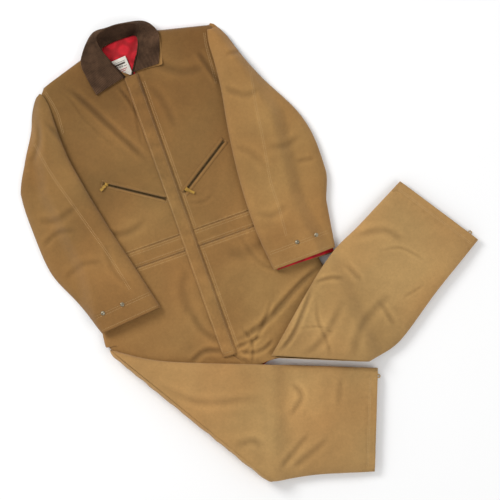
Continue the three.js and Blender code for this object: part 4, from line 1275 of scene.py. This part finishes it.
def make_zips():
    """Both pocket zips with their welts, both leg zips and the main zip."""
    for name in SIDES:
        start, way = pocket_place(name)
        zip_chain(f"pocket_zip_{name}", TRUNK, start, way, POCKET_LENGTH, CHAIN_REACH, "torso")
        zip_welts(name, start, way)
        hem = (LEG_LENGTH[name] - 0.3, LEG_ZIP_SIDE[name])
        zip_chain(f"leg_zip_{name}", LEG[name], hem, (-1, 0), LEG_ZIP_LENGTH - 0.3, CHAIN_REACH,
                  f"lower_leg_{name}")
    zip_chain("main_zip", TRUNK, (0, -ZIP_TOP_GAP), (0, -1), MAIN_LENGTH, MAIN_REACH, "torso")


def zip_welts(name, start, way):
    """Turned canvas edges, one each side of a pocket zip."""
    left = np.array([-way[1], way[0]])
    first, last = -5, POCKET_LENGTH + 5
    u = np.linspace(first, last, 60)
    angle = np.linspace(0, 1, 12)
    for side, word in ((1, "upper"), (-1, "lower")):
        off = side * (4.5 + 6.5 * angle)
        x = start[0] + way[0] * u[:, None] + left[0] * off[None, :]
        y = start[1] + way[1] * u[:, None] + left[1] * off[None, :]
        to_side = np.full(x.shape, 100.0)
        z, _ = front_height(name, x, y, to_side)
        ends = smooth((u - first) / 4) * smooth((last - u) / 4)
        sunk = 3.0 * bell(np.abs(off), ZIP_LANE, 4)[None, :] * 0.2
        arch = (0.9 * np.sin(math.pi * (0.12 + 0.88 * angle)))[None, :] * ends[:, None]
        z = np.minimum(z, 26.1) - sunk + arch - 0.3
        z = np.minimum(z, 26.15) if name == "left" else z
        tone = tone_by_place(x, y) + 0.1 * (1 - angle)[None, :]
        # relief falls from the turned lip outwards: painted highlight on the lip, painted shade where the
        # welt meets the front
        piece = trunk_cloth(f"pocket_welt_{name}_{word}", x, y, z, CANVAS, tone,
                            0.5 - angle[None, :] + 0 * x, thick=1.0, flip=(side > 0) != (name == "left"))
        settle(piece, "torso")


SNAP_PROFILE = [(0, 2.3), (1.6, 2.25), (3.0, 1.95), (3.7, 1.5), (4.0, 1.1), (4.5, 1.35), (5.0, 1.2),
                (5.3, 0.6),
                (5.2, 0.05), (4.6, 0.0), (0, 0.0)]


def make_snaps():
    """Each snap is a profile spun about its post: a domed cap in a rolled ring."""
    spin = np.linspace(0, 2 * math.pi, 33)[:-1]
    for name in SIDES:
        for kind in ("inner", "outer"):
            node = f"cuff_snap_{name}_{kind}"
            low, high = [np.array(corner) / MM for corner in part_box(node)]
            centre = (low + high) / 2
            radius, height = np.array(SNAP_PROFILE).T
            x = centre[0] + radius[:, None] * np.cos(spin)
            y = centre[1] + radius[:, None] * np.sin(spin)
            z = high[2] - SNAP_PROFILE[0][1] + height[:, None] + 0 * spin
            faces = grid_faces(len(radius), len(spin), True, True)
            piece = mesh_object(f"{node}_cap", np.stack([x, y, z], -1) * MM, faces, METAL)
            settle(piece, f"sleeve_{name}", node)


# ------------------------------------------------------------------ stitching
STITCH = {"long": 3.0, "pitch": 4.2, "half_wide": 0.42, "high": 0.38}


def tree_of(piece):
    """A search tree of a piece's faces, for laying thread on it."""
    mesh = piece.data
    places = np.zeros(3 * len(mesh.vertices))
    mesh.vertices.foreach_get("co", places)
    vertices = [Vector(place) for place in places.reshape(-1, 3)]
    return BVHTree.FromPolygons(vertices, [list(face.vertices) for face in mesh.polygons])


def stitch_rows(label, target, flat, lines, body, below=False):
    """Short raised threads along plan lines, each laid on the cloth under (or over) it."""
    tree = tree_of(target)
    down = Vector((0, 0, 1 if below else -1))
    depth = -1.0 if below else 1.0
    vertices, faces = [], []
    for line in lines:
        path = course(line, np.linspace(0, len(line) - 1, 40 * len(line)), 0.8)
        x, y = flat.flat(path[:, 0], path[:, 1])
        lengths = np.concatenate([[0], np.cumsum(np.hypot(np.diff(x), np.diff(y)))])
        marks = np.arange(1.0, lengths[-1] - STITCH["long"], STITCH["pitch"])
        for mark in marks:
            ends = []
            for at in (mark, mark + STITCH["long"]):
                px, py = np.interp(at, lengths, x) * MM, np.interp(at, lengths, y) * MM
                hit, normal, _, _ = tree.ray_cast(Vector((px, py, depth)), down)
                if hit is None:
                    break
                ends.append((hit, normal if normal.z * depth > 0 else -normal))
            if len(ends) < 2 or (ends[0][0] - ends[1][0]).length > 2 * STITCH["long"] * MM:
                continue
            along = (ends[1][0] - ends[0][0]).normalized()
            across = along.cross(ends[0][1]).normalized() * STITCH["half_wide"] * MM
            first = len(vertices)
            for share, wide, high in ((0, 0.5, -0.1), (0.5, 1.0, 1.0), (1, 0.5, -0.1)):
                middle = ends[0][0].lerp(ends[1][0], share)
                lift = ends[0][1] * STITCH["high"] * MM * high
                aside, foot = across * wide, lift * 0.3
                vertices += [middle - aside + foot, middle + lift, middle + aside + foot]
            for i in (0, 3):
                faces += [(first + i, first + i + 1, first + i + 4, first + i + 3),
                          (first + i + 1, first + i + 2, first + i + 5, first + i + 4)]
    piece = mesh_object(label, np.array([tuple(v) for v in vertices]), np.array(faces), THREAD)
    return settle(piece, body, None)


def beside(line, offset):
    """The same line moved sideways by an offset."""
    line = np.array(line, float)
    way = np.gradient(line, axis=0)
    way /= np.linalg.norm(way, axis=1)[:, None]
    return line + offset * np.stack([-way[:, 1], way[:, 0]], -1)


def sew(panels, placket, sleeves, legs):
    """All rows of stitches, laid on the cloth that is there by now."""
    for name, side in SIDES.items():
        front, band, thigh = (panels[f"{part}_{name}"] for part in ("front", "band", "thigh"))
        arm = [(214, 44), (209, 20), (206, -8), (203, -50), (199, -90)] if side > 0 else \
            [(230, 36), (222, 4), (218, -30), (222, -80)]
        arm = [(side * x, y) for x, y in arm]
        rows = [beside(arm, side * -3), beside(arm, side * -7), [(side * 16, -418.5), (side * 268, -418.5)]]
        if side > 0:
            rows += [[(lane, -20), (lane, -220), (lane, -416)] for lane in STITCH_LANES]
        start, way = pocket_place(name)
        left = np.array([-way[1], way[0]])
        first, last = start - 6 * way, start + (POCKET_LENGTH + 5) * way
        rows += [[first + off * left, last + off * left] for off in (-9.5, 9.5)]
        rows += [[end - 9.5 * left, end + 9.5 * left] for end in (first, last)]
        stitch_rows(f"stitch_front_{name}", front, TRUNK, rows, "torso")
        rows = [[(side * 16, level), (side * 268, level)] for level in (-425, -431, -456, -462)]
        stitch_rows(f"stitch_band_{name}", band, TRUNK, rows, "torso")
        rows = [[(side * 16, level), (side * 270, level)] for level in (-468, -474)]
        if side > 0:
            rows += [[(19, -480), (19, -748)], [(24, -480), (24, -742)]]
        stitch_rows(f"stitch_thigh_{name}", thigh, TRUNK, rows, "torso")
        seam = SLEEVE_SEAM[name]
        cuff_west, cuff_east = SLEEVE_EDGES[name]["west"][-1][1], SLEEVE_EDGES[name]["east"][-1][1]
        cuff_ends = (cuff_west + 4, cuff_east - 4)
        cuff = [[(end, up - SLEEVE_LENGTH) for end in cuff_ends] for up in (6, 39, 45)]
        stitch_rows(f"stitch_sleeve_{name}", sleeves[name], SLEEVE[name],
                    [beside(seam, 2.5), beside(seam, 7.0)] + cuff, f"sleeve_{name}")
        stitch_rows(f"stitch_sleeve_under_{name}", sleeves[name], SLEEVE[name], cuff,
                    f"sleeve_{name}", below=True)
        length = LEG_LENGTH[name]
        hem = [[(length - back, -118), (length - back, 0), (length - back, 114)] for back in (16, 20)]
        stitch_rows(f"stitch_hem_{name}", legs[name], LEG[name], hem, f"lower_leg_{name}")
        stitch_rows(f"stitch_hem_under_{name}", legs[name], LEG[name], hem, f"lower_leg_{name}",
                    below=True)
    rows = [[(at, -22), (at, -380), (at, -744)] for at in (-18.5, 9.0)] + [[(-18, -745), (9, -745)]]
    stitch_rows("stitch_placket", placket, TRUNK, rows, "placket")


def hidden_cloth():
    """Pocket bags and the fly's underlap: soft level sheets inside the front."""
    for label, node, material, slot in (
            ("pocket_pouch_right", "pocket_bag_right", POCKETING, "pocketing"),
            ("pocket_pouch_left", "pocket_bag_left", POCKETING, "pocketing"),
            ("fly_backing", "fly_underlap", CANVAS, "canvas")):
        low, high = [np.array(corner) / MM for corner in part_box(node)]
        if node == "fly_underlap":
            u, v = np.meshgrid(np.linspace(-12, 12, 8), np.linspace(-755, -6, 90))
        else:
            side = -1 if node.endswith("right") else 1
            u, v = np.meshgrid(side * np.linspace(30, 156, 30), np.linspace(-400, -318, 22))
            v = v + smooth((v + 400) / 82) * (np.abs(u) - 30) * 0.72
        z = (low[2] + high[2]) / 2 + 0.15 * waves(u, v, 50, 131)
        piece = trunk_cloth(label, u, v, z, material, tone_by_place(u, v), thick=1.0, flip=u[0, 0] > u[0, -1])
        settle(piece, "torso", node)


def finish_metal():
    """The zip sliders and pulls keep their frame shape and get their plating."""
    for name, node in frame["nodes"].items():
        if "slider" in name or "pull" in name:
            node.data.materials.clear()
            node.data.materials.append(BRASS)


# ------------------------------------------------------------------ stage
VIEW_WIDTH = 1.275
VIEW_SHIFT = (0.004, 0.0)
CAMERA_HEIGHT = 4.5
CLOTH_MIDDLE = 0.03    # height at which the view is as wide as VIEW_WIDTH
SENSOR_WIDTH = 36.0
FLOOR_COLOUR = (0.93, 0.93, 0.93, 1.0)
FLOOR_REACH = 30.0
ROOM_LIGHT = 0.62


def add_camera():
    """A long lens straight above, framed on the laid-out cloth."""
    low, high = np.array(CAD_BOX[0]), np.array(CAD_BOX[1])
    data = bpy.data.cameras.new("camera")
    camera = bpy.data.objects.new("camera", data)
    bpy.context.scene.collection.objects.link(camera)
    centre = (low + high) / 2
    camera.location = (centre[0] + VIEW_SHIFT[0], centre[1] + VIEW_SHIFT[1], CAMERA_HEIGHT)
    data.sensor_width = SENSOR_WIDTH
    data.lens = SENSOR_WIDTH * (CAMERA_HEIGHT - CLOTH_MIDDLE) / VIEW_WIDTH
    data.clip_end = 50.0
    bpy.context.scene.camera = camera


def add_light(name, place, size, power):
    """A round white lamp that points at the middle of the floor."""
    data = bpy.data.lights.new(name, "AREA")
    data.shape = "DISK"
    data.size = size
    data.energy = power
    light = bpy.data.objects.new(name, data)
    bpy.context.scene.collection.objects.link(light)
    light.location = place
    light.rotation_euler = (-Vector(place)).to_track_quat("-Z", "Y").to_euler()


def add_stage():
    """A pale floor that the cloth lies on, a bright room and one soft light high on the left."""
    mesh = bpy.data.meshes.new("floor")
    corners = [(x * FLOOR_REACH, y * FLOOR_REACH, 0) for x, y in ((-1, -1), (1, -1), (1, 1), (-1, 1))]
    mesh.from_pydata(corners, [], [(0, 1, 2, 3)])
    s = Shader("floor", roughness=0.9, specular=0.0)
    s.surface.inputs["Base Color"].default_value = FLOOR_COLOUR
    mesh.materials.append(s.material)
    floor = bpy.data.objects.new("floor", mesh)
    bpy.context.scene.collection.objects.link(floor)
    world = bpy.data.worlds.new("room")
    world.use_nodes = True
    background = world.node_tree.nodes["Background"]
    background.inputs["Color"].default_value = (1.0, 1.0, 1.0, 1.0)
    background.inputs["Strength"].default_value = ROOM_LIGHT
    bpy.context.scene.world = world
    add_light("key", (-2.2, 1.6, 2.4), 1.6, 78.0)
    add_light("fill", (2.4, -1.4, 3.0), 2.4, 34.0)
    bpy.context.scene.view_settings.view_transform = "Standard"


add_camera()
add_stage()
PANELS = make_trunk()
SLEEVES = {name: make_sleeve(name) for name in SIDES}
LEGS = {name: make_leg(name) for name in SIDES}
for fold_name in SIDES:
    make_fold(fold_name)
make_collar()
make_label()
STRIP = make_placket()
make_zips()
make_snaps()
hidden_cloth()
finish_metal()
sew(PANELS, STRIP, SLEEVES, LEGS)
